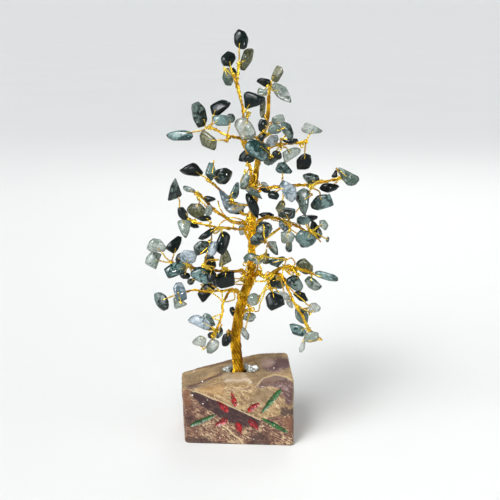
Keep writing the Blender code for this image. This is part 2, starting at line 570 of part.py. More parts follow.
def plan(inset, lean=0.0):
    """Points round the block's rounded plan, drawn in by an inset and shifted right by a lean."""
    half_width, half_depth = BLOCK_WIDTH / 2 - inset, BLOCK_DEPTH / 2 - inset
    radius = max(BLOCK_CORNER - inset, 0.2 * BLOCK_CORNER)
    quarter = math.pi / 2
    arcs = []
    for right, back, first in ((1, -1, -quarter), (1, 1, 0), (-1, 1, quarter), (-1, -1, 2 * quarter)):
        middle = (right * (half_width - radius), back * (half_depth - radius))
        arc = []
        for share in CORNER_SHARES:
            angle = first + quarter * share
            arc.append((middle[0] + radius * math.cos(angle), middle[1] + radius * math.sin(angle)))
        arcs.append(arc)
    points = []
    for arc, following in zip(arcs, arcs[1:] + arcs[:1]):
        points += arc
        for share in SIDE_SHARES:
            points.append(tuple(a + (b - a) * share for a, b in zip(arc[-1], following[0])))
    skew = BLOCK_SKEW / BLOCK_DEPTH
    outline = []
    for across, back in points:
        x = across + BLOCK_MIDDLE + lean - skew * (back + BLOCK_DEPTH / 2)
        outline.append((x, back - BLOCK_FORWARD - swing(x)))
    return outline


def stone_block(look):
    rings = []
    sides = [(0, 1.0), (BLOCK_EDGE, 0.9), (0.55, 0.45)]
    for level, share in sides:
        ring = []
        drawn_in = BLOCK_BATTER / 2 * share
        for x, y in plan(drawn_in + (BLOCK_EDGE if level == 0 else 0), drawn_in):
            z = level if level in (0, BLOCK_EDGE) else level * top_height(x, y)
            swell = ROUGHNESS * unevenness(x, y, z) if z else 0
            ring.append(Vector((x, y + swell * (1 if y > 0 else 0.4), z)))
        rings.append(ring)
    for drop, inset in ((BLOCK_EDGE, 0), (0.35 * BLOCK_EDGE, 0.3 * BLOCK_EDGE), (0, BLOCK_EDGE)):
        rings.append([Vector((x, y, top_height(x, y) - drop)) for x, y in plan(inset)])
    rim = plan(BLOCK_EDGE)
    hole = TRUNK_FOOT_DIAMETER / 2 + HOLE_CLEARANCE
    for share in (0.35, 0.7, 1.0):
        ring = []
        for x, y in rim:
            angle = math.atan2(y, x - FOOT_X)
            near = (FOOT_X + SEAT_RADIUS * math.cos(angle), SEAT_RADIUS * math.sin(angle))
            px, py = x + (near[0] - x) * share, y + (near[1] - y) * share
            ring.append(Vector((px, py, top_height(px, py))))
        rings.append(ring)
    for z in (SEAT_HEIGHT, SEAT_HEIGHT - HOLE_DEPTH):
        rings.append([Vector((FOOT_X + hole * math.cos(math.atan2(y, x - FOOT_X)),
                              hole * math.sin(math.atan2(y, x - FOOT_X)), z)) for x, y in rim])
    bm = bmesh.new()
    close_rings(bm, rings)
    block = solid("stone_base", bm, look)
    cuts = bpy.data.collections.new("flower cuts")
    bpy.context.scene.collection.children.link(cuts)
    for number, (start, end, width) in enumerate(PETALS + LEAVES):
        fullest = PETAL_FULLEST if number < len(PETALS) else LEAF_FULLEST
        cutter = flower_cutter(f"flower cut {number}", start, end, width, fullest, look)
        bpy.context.collection.objects.unlink(cutter)
        cuts.objects.link(cutter)
    carve = block.modifiers.new("flower", "BOOLEAN")
    carve.operation = "DIFFERENCE"
    carve.operand_type = "COLLECTION"
    carve.collection = cuts
    return block


def flower_outline(start, end, width, fullest, steps=3):
    """Outline of a petal or leaf in the front face, pointed at its end and blunt at its start."""
    start, end = Vector(start) * 0.001, Vector(end) * 0.001
    aside = (end - start).orthogonal().normalized() * width * 0.0005
    sides = ([], [])
    for k in range(1, 2 * steps):
        share = k / (2 * steps)
        if share < fullest:
            full = math.sin(math.pi / 2 * share / fullest) ** 0.6
        else:
            full = math.cos(math.pi / 2 * (share - fullest) / (1 - fullest)) ** 0.8
        for side, sign in zip(sides, (1, -1)):
            side.append(start + (end - start) * share + aside * full * sign)
    return [start, *sides[0], end, *sides[1][::-1]]


def flower_cutter(name, start, end, width, fullest, look):
    outline = flower_outline(start, end, width, fullest)
    middle = sum(outline, Vector((0, 0))) / len(outline)
    rings = []
    for depth, share in ((-CUT_DEPTH, 1.0), (0, 1.0), (CUT_DEPTH, 0.7)):
        ring = []
        for point in outline:
            x, z = middle + (point - middle) * share
            x += FLOWER_MIDDLE[0]
            face = -BLOCK_DEPTH / 2 - BLOCK_FORWARD - swing(x)
            ring.append(Vector((x, face + depth, FLOWER_MIDDLE[1] + z)))
        rings.append(ring)
    bm = bmesh.new()
    close_rings(bm, rings)
    cutter = solid(name, bm, look)
    cutter.hide_render = True
    cutter.display_type = "WIRE"
    return cutter


def glitter_bed(look):
    """Lumpy band of glue and crushed crystal round the back of the trunk's hole."""
    draw = random.Random(STONE_SEED)
    inner = TRUNK_FOOT_DIAMETER / 2 + HOLE_CLEARANCE + GAP
    rings, count = [], 13
    for k in range(count):
        share = k / (count - 1)
        angle = math.radians(-18 + 218 * share)
        ends = min(1, 5 * share + 0.25, 5 * (1 - share) + 0.25)
        width = BED_WIDTH * (1.35 - 0.55 * share) * ends * draw.uniform(0.85, 1.1)
        height = BED_HEIGHT * ends * draw.uniform(0.7, 1.0)
        floor = SEAT_HEIGHT + GAP
        profile = [(0, 0), (0.12, 0.7), (0.4, 1.0), (0.75, 0.6), (1, 0)]
        outward = Vector((math.cos(angle), math.sin(angle), 0))
        middle = Vector((FOOT_X, 0, floor))
        rings.append([middle + outward * (inner + width * a) + Vector((0, 0, height * b))
                      for a, b in profile])
    bm = bmesh.new()
    close_rings(bm, rings)
    return solid("glitter_bed", bm, look)


# Tree

def trunk_rope(route, look):
    points = [Vector((FOOT_X, 0, SEAT_HEIGHT - HOLE_DEPTH + GAP))] + [seen(*place)[0] for place in route[::2]]
    radii = [TRUNK_FOOT_DIAMETER / 2] + [trunk_radius(k / (len(route) - 1)) for k in range(0, len(route), 2)]
    bm = bmesh.new()
    tube(bm, points, radii, sides=8)
    return solid("trunk", bm, look)


def branch_rope(name, route, look):
    points = [seen(*place)[0] for place in route[::2]]
    radii = [branch_radius(name, k / (len(points) - 1)) for k in range(len(points))]
    bm = bmesh.new()
    tube(bm, points, radii, sides=4)
    return solid("branch_" + name, bm, look)


def sprig_pieces(sprig, routes, first, backs):
    """Closed meshes of a sprig: its stem, the knot at its joint, and each chip with its wire."""
    across, up, _ = sprig.joint
    joint = seen(across, up, backs[0])[0]
    radius = STEM_DIAMETER / 2
    root = leave(sprig.branch, routes[sprig.branch], sprig.share, (across, up, backs[0]), radius)
    stem = bmesh.new()
    tube(stem, [seen(*root)[0], joint], [radius] * 2, sides=3)
    knot = bmesh.new()
    bmesh.ops.create_uvsphere(knot, u_segments=4, v_segments=2, radius=KNOT_DIAMETER / 2,
                              matrix=Matrix.Translation(joint))
    pieces = [stem, knot]
    for number, (chip, back) in enumerate(zip(sprig.chips, backs[1:]), first):
        points, *axes = chip_points(chip, number, back)
        twig = bmesh.new()
        tube(twig, [joint, hole(*axes, joint)], [TWIG_DIAMETER / 2] * 2, sides=3)
        stone = bmesh.new()
        for point in points:
            stone.verts.new(point)
        bmesh.ops.convex_hull(stone, input=stone.verts)
        loose = [vert for vert in stone.verts if not vert.link_faces]
        bmesh.ops.delete(stone, geom=loose, context="VERTS")
        pieces += [twig, stone]
    return pieces


def main():
    for obj in list(bpy.data.objects):
        bpy.data.objects.remove(obj)
    stone = material("banded stone", (0.33, 0.24, 0.17), 0.6)
    silver = material("crushed crystal", (0.75, 0.76, 0.76), 0.25)
    gold = material("gold wire", (0.62, 0.40, 0.08), 0.3, 1.0)
    agate = material("moss agate", (0.10, 0.15, 0.14), 0.15)
    stone_block(stone)
    glitter_bed(silver)
    routes = lay_routes()
    trunk_rope(routes["trunk"], gold)
    for name in BRANCHES:
        branch_rope(name, routes[name], gold)
    backs = space_out(routes)
    number = 0
    for name, sprig in SPRIGS.items():
        first = number + list(SPRIGS).index(name)
        own = backs[first:first + len(sprig.chips) + 1]
        fuse("sprig_" + name, sprig_pieces(sprig, routes, number, own), agate)
        number += len(sprig.chips)


main()
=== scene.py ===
"""Looks of the gemstone-chip tree: twisted gold wire, moss-agate chips and a painted stone block.

Metres, +Z up, front towards -Y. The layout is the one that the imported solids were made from.
"""

import math
import random
from collections import namedtuple

import bmesh
import bpy
import numpy as np
from mathutils import Matrix, Vector, noise
from mathutils.bvhtree import BVHTree


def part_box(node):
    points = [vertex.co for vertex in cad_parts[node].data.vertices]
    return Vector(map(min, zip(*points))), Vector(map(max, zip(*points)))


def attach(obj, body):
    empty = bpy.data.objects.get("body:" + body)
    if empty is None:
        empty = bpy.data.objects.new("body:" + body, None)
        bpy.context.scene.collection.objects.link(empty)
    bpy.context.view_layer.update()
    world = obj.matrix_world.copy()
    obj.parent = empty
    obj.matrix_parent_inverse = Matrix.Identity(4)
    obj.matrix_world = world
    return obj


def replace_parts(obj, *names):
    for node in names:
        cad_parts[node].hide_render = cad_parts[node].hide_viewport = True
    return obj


# Driving sizes
BLOCK_WIDTH = 0.0685
BLOCK_DEPTH = 0.046
BLOCK_SKEW = 0.003  # how far the back edge lies to the left of the front edge
BLOCK_SWING = 0.0044  # how much farther forward the right side lies than the left side
BLOCK_FORWARD = 0.001  # how far the middle of the block lies in front of the trunk
BLOCK_MIDDLE = 0.00175  # x of the middle of the front edge
BLOCK_BATTER = 0.0016  # how far the left side draws in towards the underside
BLOCK_CORNER = 0.0035  # corner radius in plan
BLOCK_EDGE = 0.0012  # rounding of the top and bottom edges
FRONT_LEFT_HEIGHT = 0.035
FRONT_RIGHT_HEIGHT = 0.040
BACK_LEFT_HEIGHT = 0.0302
BACK_RIGHT_HEIGHT = 0.045
SEAT_HEIGHT = 0.039  # level seat that the trunk and the glue bed stand on
SEAT_RADIUS = 0.0125
ROUGHNESS = 0.0005  # unevenness of the stone
CUT_DEPTH = 0.0011  # of the flower in the front face

FOOT_X = 0.002
TRUNK_FOOT_DIAMETER = 0.0072
TRUNK_TOP_DIAMETER = 0.0018
HOLE_CLEARANCE = 0.0018  # between the trunk and the wall of its hole
HOLE_DEPTH = 0.012
BED_HEIGHT = 0.0031
BED_WIDTH = 0.0058
GAP = 0.0003  # between neighbouring solids

TREE_RISE = 0.209  # from the seat to the topmost chip
WIRE = 0.0004  # diameter of a single wire
TWIG_DIAMETER = 2.1 * WIRE
STEM_DIAMETER = 3.4 * WIRE
KNOT_DIAMETER = 5 * WIRE  # where a stem parts into its twigs
CHIP_THICKNESS = 0.0037
HOLE_REACH = 0.42  # of the chip's half length or width, from its middle to its hole at most

# Front view that the tree is laid out on: steps across from its middle line, up from the seat and
# back from the trunk. It is seen from a raised eye, as a maker looks at the tree on a bench.
STEP = TREE_RISE / 342
SIGHT_LENGTH = 1050  # steps from the eye to the drawing plane
SIGHT_DIP = math.radians(13.5)
SIGHT_UP = 121  # height on the front view that the line of sight meets
EYE_DISTANCE = 1014.5 * STEP
FOOT_ACROSS = -11
CLEARANCE = GAP / STEP + 0.7  # least distance between chips and wires, in steps
LONGEST_STRETCH = 24  # more than any stretch of wire or chip covers on the front view
STONE_SEED = 5
CHIP_SEED = 300
DEPTH_SEED = 82

Chip = namedtuple("Chip", "across up length width turn shape tone")
Sprig = namedtuple("Sprig", "branch share joint chips")
Route = namedtuple("Route", "points rope wire strands pitch")

TRUNK_ROUTE = [
    (-11, 0, 0), (-14, 36, -1), (-7, 71, -2), (1, 99, -3), (2, 125, -3), (4, 171, -1),
    (8, 213, 1), (13, 235, 2), (18, 256, 4), (19, 276, 5),
]

# Each branch: what it leaves, at what share of that, thickness in wires, then its route
BRANCHES = {
    "leader_left": ("trunk", 0.69, 4.5, [(-2, 214, -10), (-5, 238, -14), (-7, 262, -12), (-13, 290, -9)]),
    "upper_left": ("leader_left", 0.42, 3.2, [(-18, 235, -20), (-27, 238, -17), (-36, 243, -12)]),
    "upper_right": ("trunk", 0.8, 3.6, [(26, 226, -4), (40, 228, -8), (54, 229, -8)]),
    "right_long": ("trunk", 0.665, 5, [(20, 184, -10), (42, 186, -12), (62, 187, -2), (90, 193, 6)]),
    "left_upper": ("trunk", 0.56, 4, [(-10, 160, 14), (-18, 168, 22), (-29, 181, 24), (-40, 190, 20)]),
    "left_mid": ("trunk", 0.535, 5.5, [(-15, 149, -14), (-26, 155, -18), (-38, 164, -18), (-50, 177, -14)]),
    "left_mid_low": (
        "trunk", 0.51, 3.6, [(-18, 143, -22), (-32, 144, -32), (-50, 148, -34), (-64, 154, -28)]),
    "right_mid": ("trunk", 0.545, 5, [(18, 154, 8), (34, 151, 16), (48, 145, 14), (58, 139, 8)]),
    "left_low": ("trunk", 0.365, 5, [(-18, 100, -16), (-38, 101, -20), (-58, 104, -14), (-76, 108, -4)]),
    "left_out": ("trunk", 0.29, 4, [(-22, 81, 12), (-42, 80, 24), (-58, 81, 24), (-72, 77, 16)]),
    "left_down": ("trunk", 0.275, 4, [(-19, 80, -18), (-26, 70, -28), (-28, 56, -32), (-33, 42, -32)]),
    "right_low": ("trunk", 0.375, 6, [(16, 95, -18), (30, 103, -26), (42, 104, -26), (60, 99, -18)]),
    "right_down": ("right_low", 0.5, 4, [(37, 86, -38), (42, 73, -44), (51, 58, -46), (58, 44, -42)]),
}

# Each sprig: its branch, at what share of that, its joint, then its chips. Each chip: across, up,
# length, width and turn, then the letters of its outline and its tone. Outline letters: o is oval,
# t tapers to a point at its turn, b is blocky, g is three-cornered
SPRIG_ROWS = {
    "crown_left_high": ("leader_left", 1.0, (-11, 307, -9), [
        (-9, 332, 21, 15, 100, "oK"), (-3, 313, 24, 11, 71, "oO")]),
    "crown_left_low": ("leader_left", 0.86, (-16, 296, 4), [
        (-22, 312, 17, 14, 60, "bK"), (-22, 295, 18, 12, 100, "bG"), (-16, 300, 9, 5, 120, "oK")]),
    "leader_middle": ("leader_left", 0.62, (-1, 258, -20), [
        (3, 270, 22, 19, -24, "gK"), (-4, 242, 25, 17, -60, "bC")]),
    "crown_right": ("trunk", 1.0, (20, 283, 5), [
        (13, 280, 10, 9, 0, "bC"), (15, 289, 16, 9, -15, "oK"), (27, 297, 17, 10, 60, "bO"),
        (33, 278, 26, 14, -48, "tC"), (13, 264, 21, 6, 88, "oO")]),
    "upper_left_out": ("upper_left", 1.0, (-40, 244, -8), [
        (-69, 236, 29, 11, 178, "oT"), (-50, 256, 26, 16, 106, "bD"), (-30, 264, 22, 15, 25, "oK"),
        (-28, 251, 20, 11, 0, "bT")]),
    "upper_left_in": ("upper_left", 0.45, (-23, 231, -26), [
        (-41, 231, 24, 17, -55, "oO"), (-19, 253, 10, 10, 0, "oD")]),
    "upper_front": ("leader_left", 0.2, (1, 214, -26), [
        (8, 221, 27, 18, -35, "bT"), (-1, 213, 13, 9, 0, "oK")]),
    "upper_core": ("trunk", 0.86, (21, 239, -24), [
        (13, 247, 13, 10, 90, "bK"), (12, 234, 9, 6, 40, "oK"), (29, 252, 14, 10, 10, "bG"),
        (26, 243, 14, 11, 20, "oD")]),
    "upper_right_in": ("upper_right", 0.5, (31, 227, -22), [
        (39, 239, 20, 11, -60, "tD"), (41, 230, 16, 7, 0, "gK"), (23, 230, 15, 11, 55, "oB"),
        (41, 217, 21, 12, 30, "oC"), (27, 216, 10, 10, 0, "bK"), (18, 211, 12, 10, -60, "oD")]),
    "upper_right_out": ("upper_right", 1.0, (56, 230, -8), [
        (63, 242, 22, 11, -12, "tC"), (54, 209, 17, 15, -100, "bK")]),
    "right_long_tip": ("right_long", 1.0, (93, 194, 8), [
        (97, 196, 25, 15, 140, "tG"), (79, 184, 21, 10, 5, "oK"), (86, 197, 9, 6, 60, "gK")]),
    "right_long_middle": ("right_long", 0.62, (61, 184, -12), [
        (61, 193, 17, 11, 0, "bD"), (73, 170, 24, 15, 15, "bT"), (53, 169, 30, 16, -88, "tD")]),
    "right_long_in": ("right_long", 0.3, (33, 186, -26), [
        (38, 182, 23, 15, 115, "oB"), (31, 165, 14, 8, 60, "oO"), (24, 176, 11, 10, 0, "oK"),
        (33, 203, 17, 13, -50, "gT"), (16, 181, 11, 5, -15, "oK")]),
    "trunk_left": ("trunk", 0.64, (0, 186, -26), [
        (4, 179, 22, 7, -30, "oG"), (-5, 190, 17, 9, 80, "bG"), (3, 166, 29, 10, -65, "oK"),
        (15, 187, 9, 5, -20, "oG")]),
    "left_upper_tip": ("left_upper", 1.0, (-42, 192, 18), [
        (-58, 202, 24, 14, 175, "gK"), (-39, 200, 18, 10, 80, "bT"), (-27, 196, 20, 18, 20, "oD")]),
    "left_upper_in": ("left_upper", 0.5, (-18, 171, 8), [
        (-14, 182, 18, 9, 75, "tT"), (-24, 172, 22, 12, 125, "tB"), (-14, 163, 22, 10, 20, "oB")]),
    "left_mid_tip": ("left_mid", 1.0, (-53, 178, -18), [
        (-61, 182, 15, 6, -20, "oG"), (-41, 172, 12, 7, -15, "gK"), (-53, 161, 20, 15, -30, "bO"),
        (-41, 161, 12, 8, 80, "oG")]),
    "left_mid_low_tip": ("left_mid_low", 1.0, (-67, 157, -26), [
        (-74, 180, 24, 14, 75, "gD"), (-67, 158, 15, 10, -60, "oK"), (-65, 143, 19, 15, -85, "tC"),
        (-55, 146, 11, 6, -10, "oK")]),
    "left_mid_low_in": ("left_mid_low", 0.55, (-38, 140, -42), [
        (-45, 153, 15, 6, 5, "oK"), (-43, 137, 20, 7, 35, "oK"), (-27, 129, 24, 13, 75, "bK"),
        (-37, 123, 15, 9, 80, "bB")]),
    "right_mid_tip": ("right_mid", 1.0, (60, 140, 6), [
        (59, 153, 22, 9, 8, "tK"), (66, 141, 20, 11, -60, "oD"), (74, 147, 12, 9, -70, "oC"),
        (56, 132, 20, 15, -30, "bT"), (54, 151, 14, 9, 0, "oT"), (78, 132, 6, 4, 90, "oD")]),
    "right_mid_in": ("right_mid", 0.5, (40, 146, 4), [
        (36, 158, 15, 9, 0, "bD"), (34, 146, 14, 11, -40, "oB"), (38, 134, 14, 12, 0, "bC"),
        (39, 124, 10, 7, 90, "bD")]),
    "centre_high": ("trunk", 0.49, (15, 130, -26), [
        (15, 141, 17, 15, 0, "oD"), (7, 132, 15, 12, 30, "bD"), (24, 123, 17, 9, -65, "tG"),
        (14, 148, 11, 4, 0, "oK")]),
    "centre_low": ("trunk", 0.41, (12, 115, -30), [
        (1, 114, 14, 9, 10, "oG"), (16, 113, 12, 8, 90, "bO"), (8, 110, 9, 6, 0, "oC"),
        (27, 109, 17, 10, 20, "gT")]),
    "left_low_tip": ("left_low", 1.0, (-78, 109, -2), [
        (-94, 126, 20, 14, 5, "bC"), (-96, 111, 16, 15, 60, "bG"), (-75, 127, 20, 12, 50, "bK")]),
    "left_low_out": ("left_low", 0.78, (-62, 107, -20), [
        (-62, 115, 17, 14, -20, "bB"), (-71, 113, 11, 6, 70, "oK"), (-74, 102, 25, 14, 25, "bT"),
        (-65, 96, 11, 7, 0, "bK"), (-59, 90, 8, 7, 30, "oD")]),
    "left_low_middle": ("left_low", 0.5, (-46, 106, -28), [
        (-49, 123, 19, 15, 40, "oD"), (-48, 96, 24, 17, -15, "oT"), (-40, 109, 16, 12, 100, "bK"),
        (-38, 96, 13, 9, 70, "oK")]),
    "left_low_in": ("left_low", 0.28, (-26, 103, -30), [
        (-24, 113, 19, 13, 80, "gO"), (-24, 92, 23, 17, 15, "bK")]),
    "left_out_tip": ("left_out", 1.0, (-73, 76, 2), [
        (-70, 80, 21, 12, -70, "bB"), (-71, 67, 16, 11, -30, "gC"), (-88, 70, 21, 14, -60, "bD")]),
    "left_out_in": ("left_out", 0.5, (-44, 84, 30), [
        (-44, 80, 21, 12, 50, "bK"), (-50, 97, 18, 13, -10, "oG"), (-30, 92, 18, 12, 40, "bD")]),
    "left_down_tip": ("left_down", 1.0, (-34, 39, -32), [
        (-50, 50, 25, 11, -25, "bB"), (-40, 51, 16, 9, -50, "tD"), (-50, 30, 15, 13, 0, "bC"),
        (-37, 26, 16, 12, 60, "oC"), (-38, 36, 8, 7, 0, "oK"), (-30, 38, 12, 6, 70, "oD")]),
    "foot_left": ("trunk", 0.14, (-21, 40, -6), [(-23, 32, 14, 10, 80, "bK")]),
    "low_back": ("trunk", 0.22, (0, 62, 20), [
        (-17, 60, 11, 6, -70, "oK"), (-5, 38, 15, 7, -60, "oC"), (0, 54, 13, 10, 0, "oC")]),
    "right_low_hang": ("right_low", 0.25, (20, 84, -24), [
        (4, 72, 15, 13, 30, "oC"), (25, 69, 20, 19, -20, "gK"), (30, 76, 20, 10, -10, "oC")]),
    "right_low_in": ("right_low", 0.42, (30, 96, -8), [
        (23, 90, 17, 8, 85, "oK"), (32, 89, 13, 9, 60, "bD"), (40, 68, 11, 6, -60, "oC")]),
    "right_low_tip": ("right_low", 1.0, (62, 98, -16), [
        (77, 95, 25, 8, -15, "oT"), (63, 87, 19, 11, -40, "bG"), (55, 105, 19, 14, -40, "oO")]),
    "right_low_out": ("right_low", 0.72, (48, 97, -34), [
        (45, 89, 19, 14, -40, "bD"), (51, 75, 16, 10, -20, "oK")]),
    "right_down_middle": ("right_down", 0.6, (52, 62, -36), [
        (65, 64, 13, 11, 0, "oC"), (52, 56, 19, 14, -60, "oD")]),
    "right_down_tip": ("right_down", 1.0, (59, 42, -42), [
        (48, 41, 19, 12, -25, "oT"), (62, 34, 15, 12, 0, "bC"), (53, 27, 15, 6, 75, "tC")]),
    "back_high": ("trunk", 0.74, (8, 212, 34), [
        (10, 224, 20, 14, -20, "bD"), (-4, 216, 16, 11, 40, "oK"), (22, 212, 18, 11, 10, "gT")]),
    "back_middle": ("trunk", 0.58, (2, 168, 44), [
        (14, 141, 19, 13, 30, "bG"), (-14, 163, 19, 13, -30, "oK"), (-7, 142, 12, 9, 80, "oC")]),
    "back_right": ("trunk", 0.47, (34, 146, 46), [
        (56, 132, 19, 13, 60, "oD"), (36, 158, 18, 12, 0, "bT"), (53, 169, 20, 13, -70, "tK"),
        (16, 156, 16, 7, 0, "oK")]),
    "back_low": ("trunk", 0.34, (-8, 92, 46), [
        (-24, 93, 20, 14, 40, "oK"), (4, 113, 18, 11, 10, "bD"), (25, 90, 18, 12, -60, "tG")]),
}
SPRIGS = {
    name: Sprig(branch, share, joint, [Chip(*row[:5], *row[5]) for row in rows])
    for name, (branch, share, joint, rows) in SPRIG_ROWS.items()
}

# Outlines of the chips, in half lengths and half widths
OUTLINES = {
    "o": [(1, 0), (0.6, 0.72), (-0.1, 0.98), (-0.8, 0.6), (-1, -0.15), (-0.5, -0.85), (0.4, -0.92)],
    "t": [(1, 0), (0.25, 0.62), (-0.5, 1), (-0.95, 0.62), (-1, -0.3), (-0.62, -0.95), (0.3, -0.6)],
    "b": [(0.98, 0.35), (0.62, 0.95), (-0.6, 0.92), (-1, 0.45), (-0.86, -0.72), (-0.1, -1), (0.85, -0.72)],
    "g": [(1, -0.35), (0.45, 0.4), (-0.05, 1), (-0.35, 0.85), (-1, -0.55), (-0.75, -0.95), (0.8, -0.85)],
}

# Cuts of the flower, from the flower's middle in millimetres: start, end, width
FLOWER_MIDDLE = (0.0012, 0.0191)
PETALS = [
    ((-5.2, 2.2), (-12.5, 9.4), 3.9), ((-0.7, 5.8), (-3.7, 14.5), 3.4), ((6.3, 3.0), (13.7, 7.9), 3.6),
    ((-6.0, -2.3), (-13.6, -7.3), 4.0), ((-0.2, -4.5), (2.4, -12.2), 4.0), ((7.1, -2.3), (13.2, -9.2), 4.2),
]
LEAVES = [
    ((-12.3, 0.5), (-29.4, -7.9), 3.0), ((14.2, -1.2), (31.0, -10.4), 3.2), ((14.7, 1.6), (26.8, 16.3), 3.8),
]
PETAL_FULLEST = 0.3  # share of a petal's length at which it is widest
LEAF_FULLEST = 0.68


# Front view

def sight(across, up):
    """Direction in which the eye sees a place on the front view."""
    rise = up - SIGHT_UP
    return Vector((
        across,
        SIGHT_LENGTH * math.cos(SIGHT_DIP) + rise * math.sin(SIGHT_DIP),
        rise * math.cos(SIGHT_DIP) - SIGHT_LENGTH * math.sin(SIGHT_DIP),
    ))


FOOT = Vector((FOOT_X, 0, SEAT_HEIGHT))
EYE = FOOT - sight(FOOT_ACROSS, 0) * (EYE_DISTANCE / sight(FOOT_ACROSS, 0).y)
VIEW_RIGHT = Vector((1, 0, 0))
VIEW_UP = Vector((0, math.sin(SIGHT_DIP), math.cos(SIGHT_DIP)))
VIEW_DEPTH = Vector((0, math.cos(SIGHT_DIP), -math.sin(SIGHT_DIP)))


def seen(across, up, back):
    """The point that far back that the front view shows there, and the length of a step there."""
    ray = sight(across, up)
    reach = (EYE_DISTANCE + back * STEP) / ray.y
    return EYE + ray * reach, reach


def place_of(point):
    """Place on the front view where a point is seen."""
    ray = point - EYE
    step = ray.dot(VIEW_DEPTH) / SIGHT_LENGTH
    return ray.dot(VIEW_RIGHT) / step, SIGHT_UP + ray.dot(VIEW_UP) / step


# Routes

def smooth(points, per_span=4):
    """Points along a smooth curve through the given ones."""
    pts = np.array(points, float)
    ends = np.vstack([2 * pts[0] - pts[1], pts, 2 * pts[-1] - pts[-2]])
    out = []
    for i in range(1, len(ends) - 2):
        a, b, c, d = ends[i - 1:i + 3]
        for t in np.arange(per_span) / per_span:
            out.append(0.5 * (2 * b + (c - a) * t + (2 * a - 5 * b + 4 * c - d) * t**2
                              + (3 * b - a - 3 * c + d) * t**3))
    return np.array(out + [pts[-1]])


def along(route, share):
    """Point of a route at a share of its length."""
    lengths = run_lengths(route)
    return np.array([np.interp(share * lengths[-1], lengths, route[:, k]) for k in range(3)])


def trunk_radius(share):
    foot, top = TRUNK_FOOT_DIAMETER / 2, TRUNK_TOP_DIAMETER / 2
    return top + (foot - top) * (1 - share) ** 1.15


def branch_radius(name, share):
    foot = BRANCHES[name][2] * WIRE / 2
    return foot * (1 - 0.4 * share)


def radius_on(name, share):
    return trunk_radius(share) if name == "trunk" else branch_radius(name, share)


def leave(parent, route, share, towards, radius):
    """Where a wire of this radius starts beside its parent's route, clear of it by the gap."""
    root = along(route, share)
    ahead = unit(along(route, min(share + 0.02, 1)) - along(route, max(share - 0.02, 0)))
    aside = np.array(towards, float) - root
    if share < 1:
        aside -= ahead * aside.dot(ahead)
    out = GAP + 0.9 * radius + (radius_on(parent, share) if share < 1 else 0.4 * radius)
    return root + unit(aside) * out / STEP


def lay_routes():
    """The front-view route of the trunk and of every branch."""
    routes = {"trunk": smooth(TRUNK_ROUTE)}
    for name, (parent, share, _, route) in BRANCHES.items():
        start = leave(parent, routes[parent], share, route[0], branch_radius(name, 0))
        routes[name] = smooth([start, *route])
    return routes


# Corners of the chips

def chip_points(chip, number, back):
    """Corner points of a chip in the world, then its middle, its half length and its half width."""
    draw = random.Random(CHIP_SEED + number)
    middle, step = seen(chip.across, chip.up, back)
    turn, tip = math.radians(chip.turn), math.radians(draw.uniform(-16, 16))
    roll = math.radians(draw.uniform(-30, 30))
    flat = VIEW_RIGHT * math.cos(turn) + VIEW_UP * math.sin(turn)
    long = flat * math.cos(tip) + VIEW_DEPTH * math.sin(tip)
    wide = Matrix.Rotation(roll, 3, long) @ VIEW_DEPTH.cross(flat)
    face = long.cross(wide)
    half_long, half_wide = chip.length * step / 2, chip.width * step / 2
    half_thick = min(CHIP_THICKNESS * draw.uniform(0.42, 0.6), 0.85 * half_wide)
    points = []
    for a, b in OUTLINES[chip.shape]:
        swell = draw.uniform(0.93, 1.03)
        lift = draw.uniform(-0.3, 0.3) * half_thick
        points.append(middle + long * half_long * a * swell + wide * half_wide * b * swell + face * lift)
    for side in (-1, 1):
        a, b = draw.uniform(-0.45, 0.45), draw.uniform(-0.35, 0.35)
        points.append(middle + long * half_long * a + wide * half_wide * b + face * side * half_thick)
    return points, middle, long * half_long, wide * half_wide


def hole(middle, half_long, half_wide, joint):
    """Where the drilled hole lies in a chip's plane, on the joint's side of its middle."""
    towards = joint - middle
    a = towards.dot(half_long) / half_long.length_squared
    b = towards.dot(half_wide) / half_wide.length_squared
    reach = min(0.6, HOLE_REACH / max(abs(a), abs(b), 0.001))
    return middle + (half_long * a + half_wide * b) * reach


# Spacing in depth

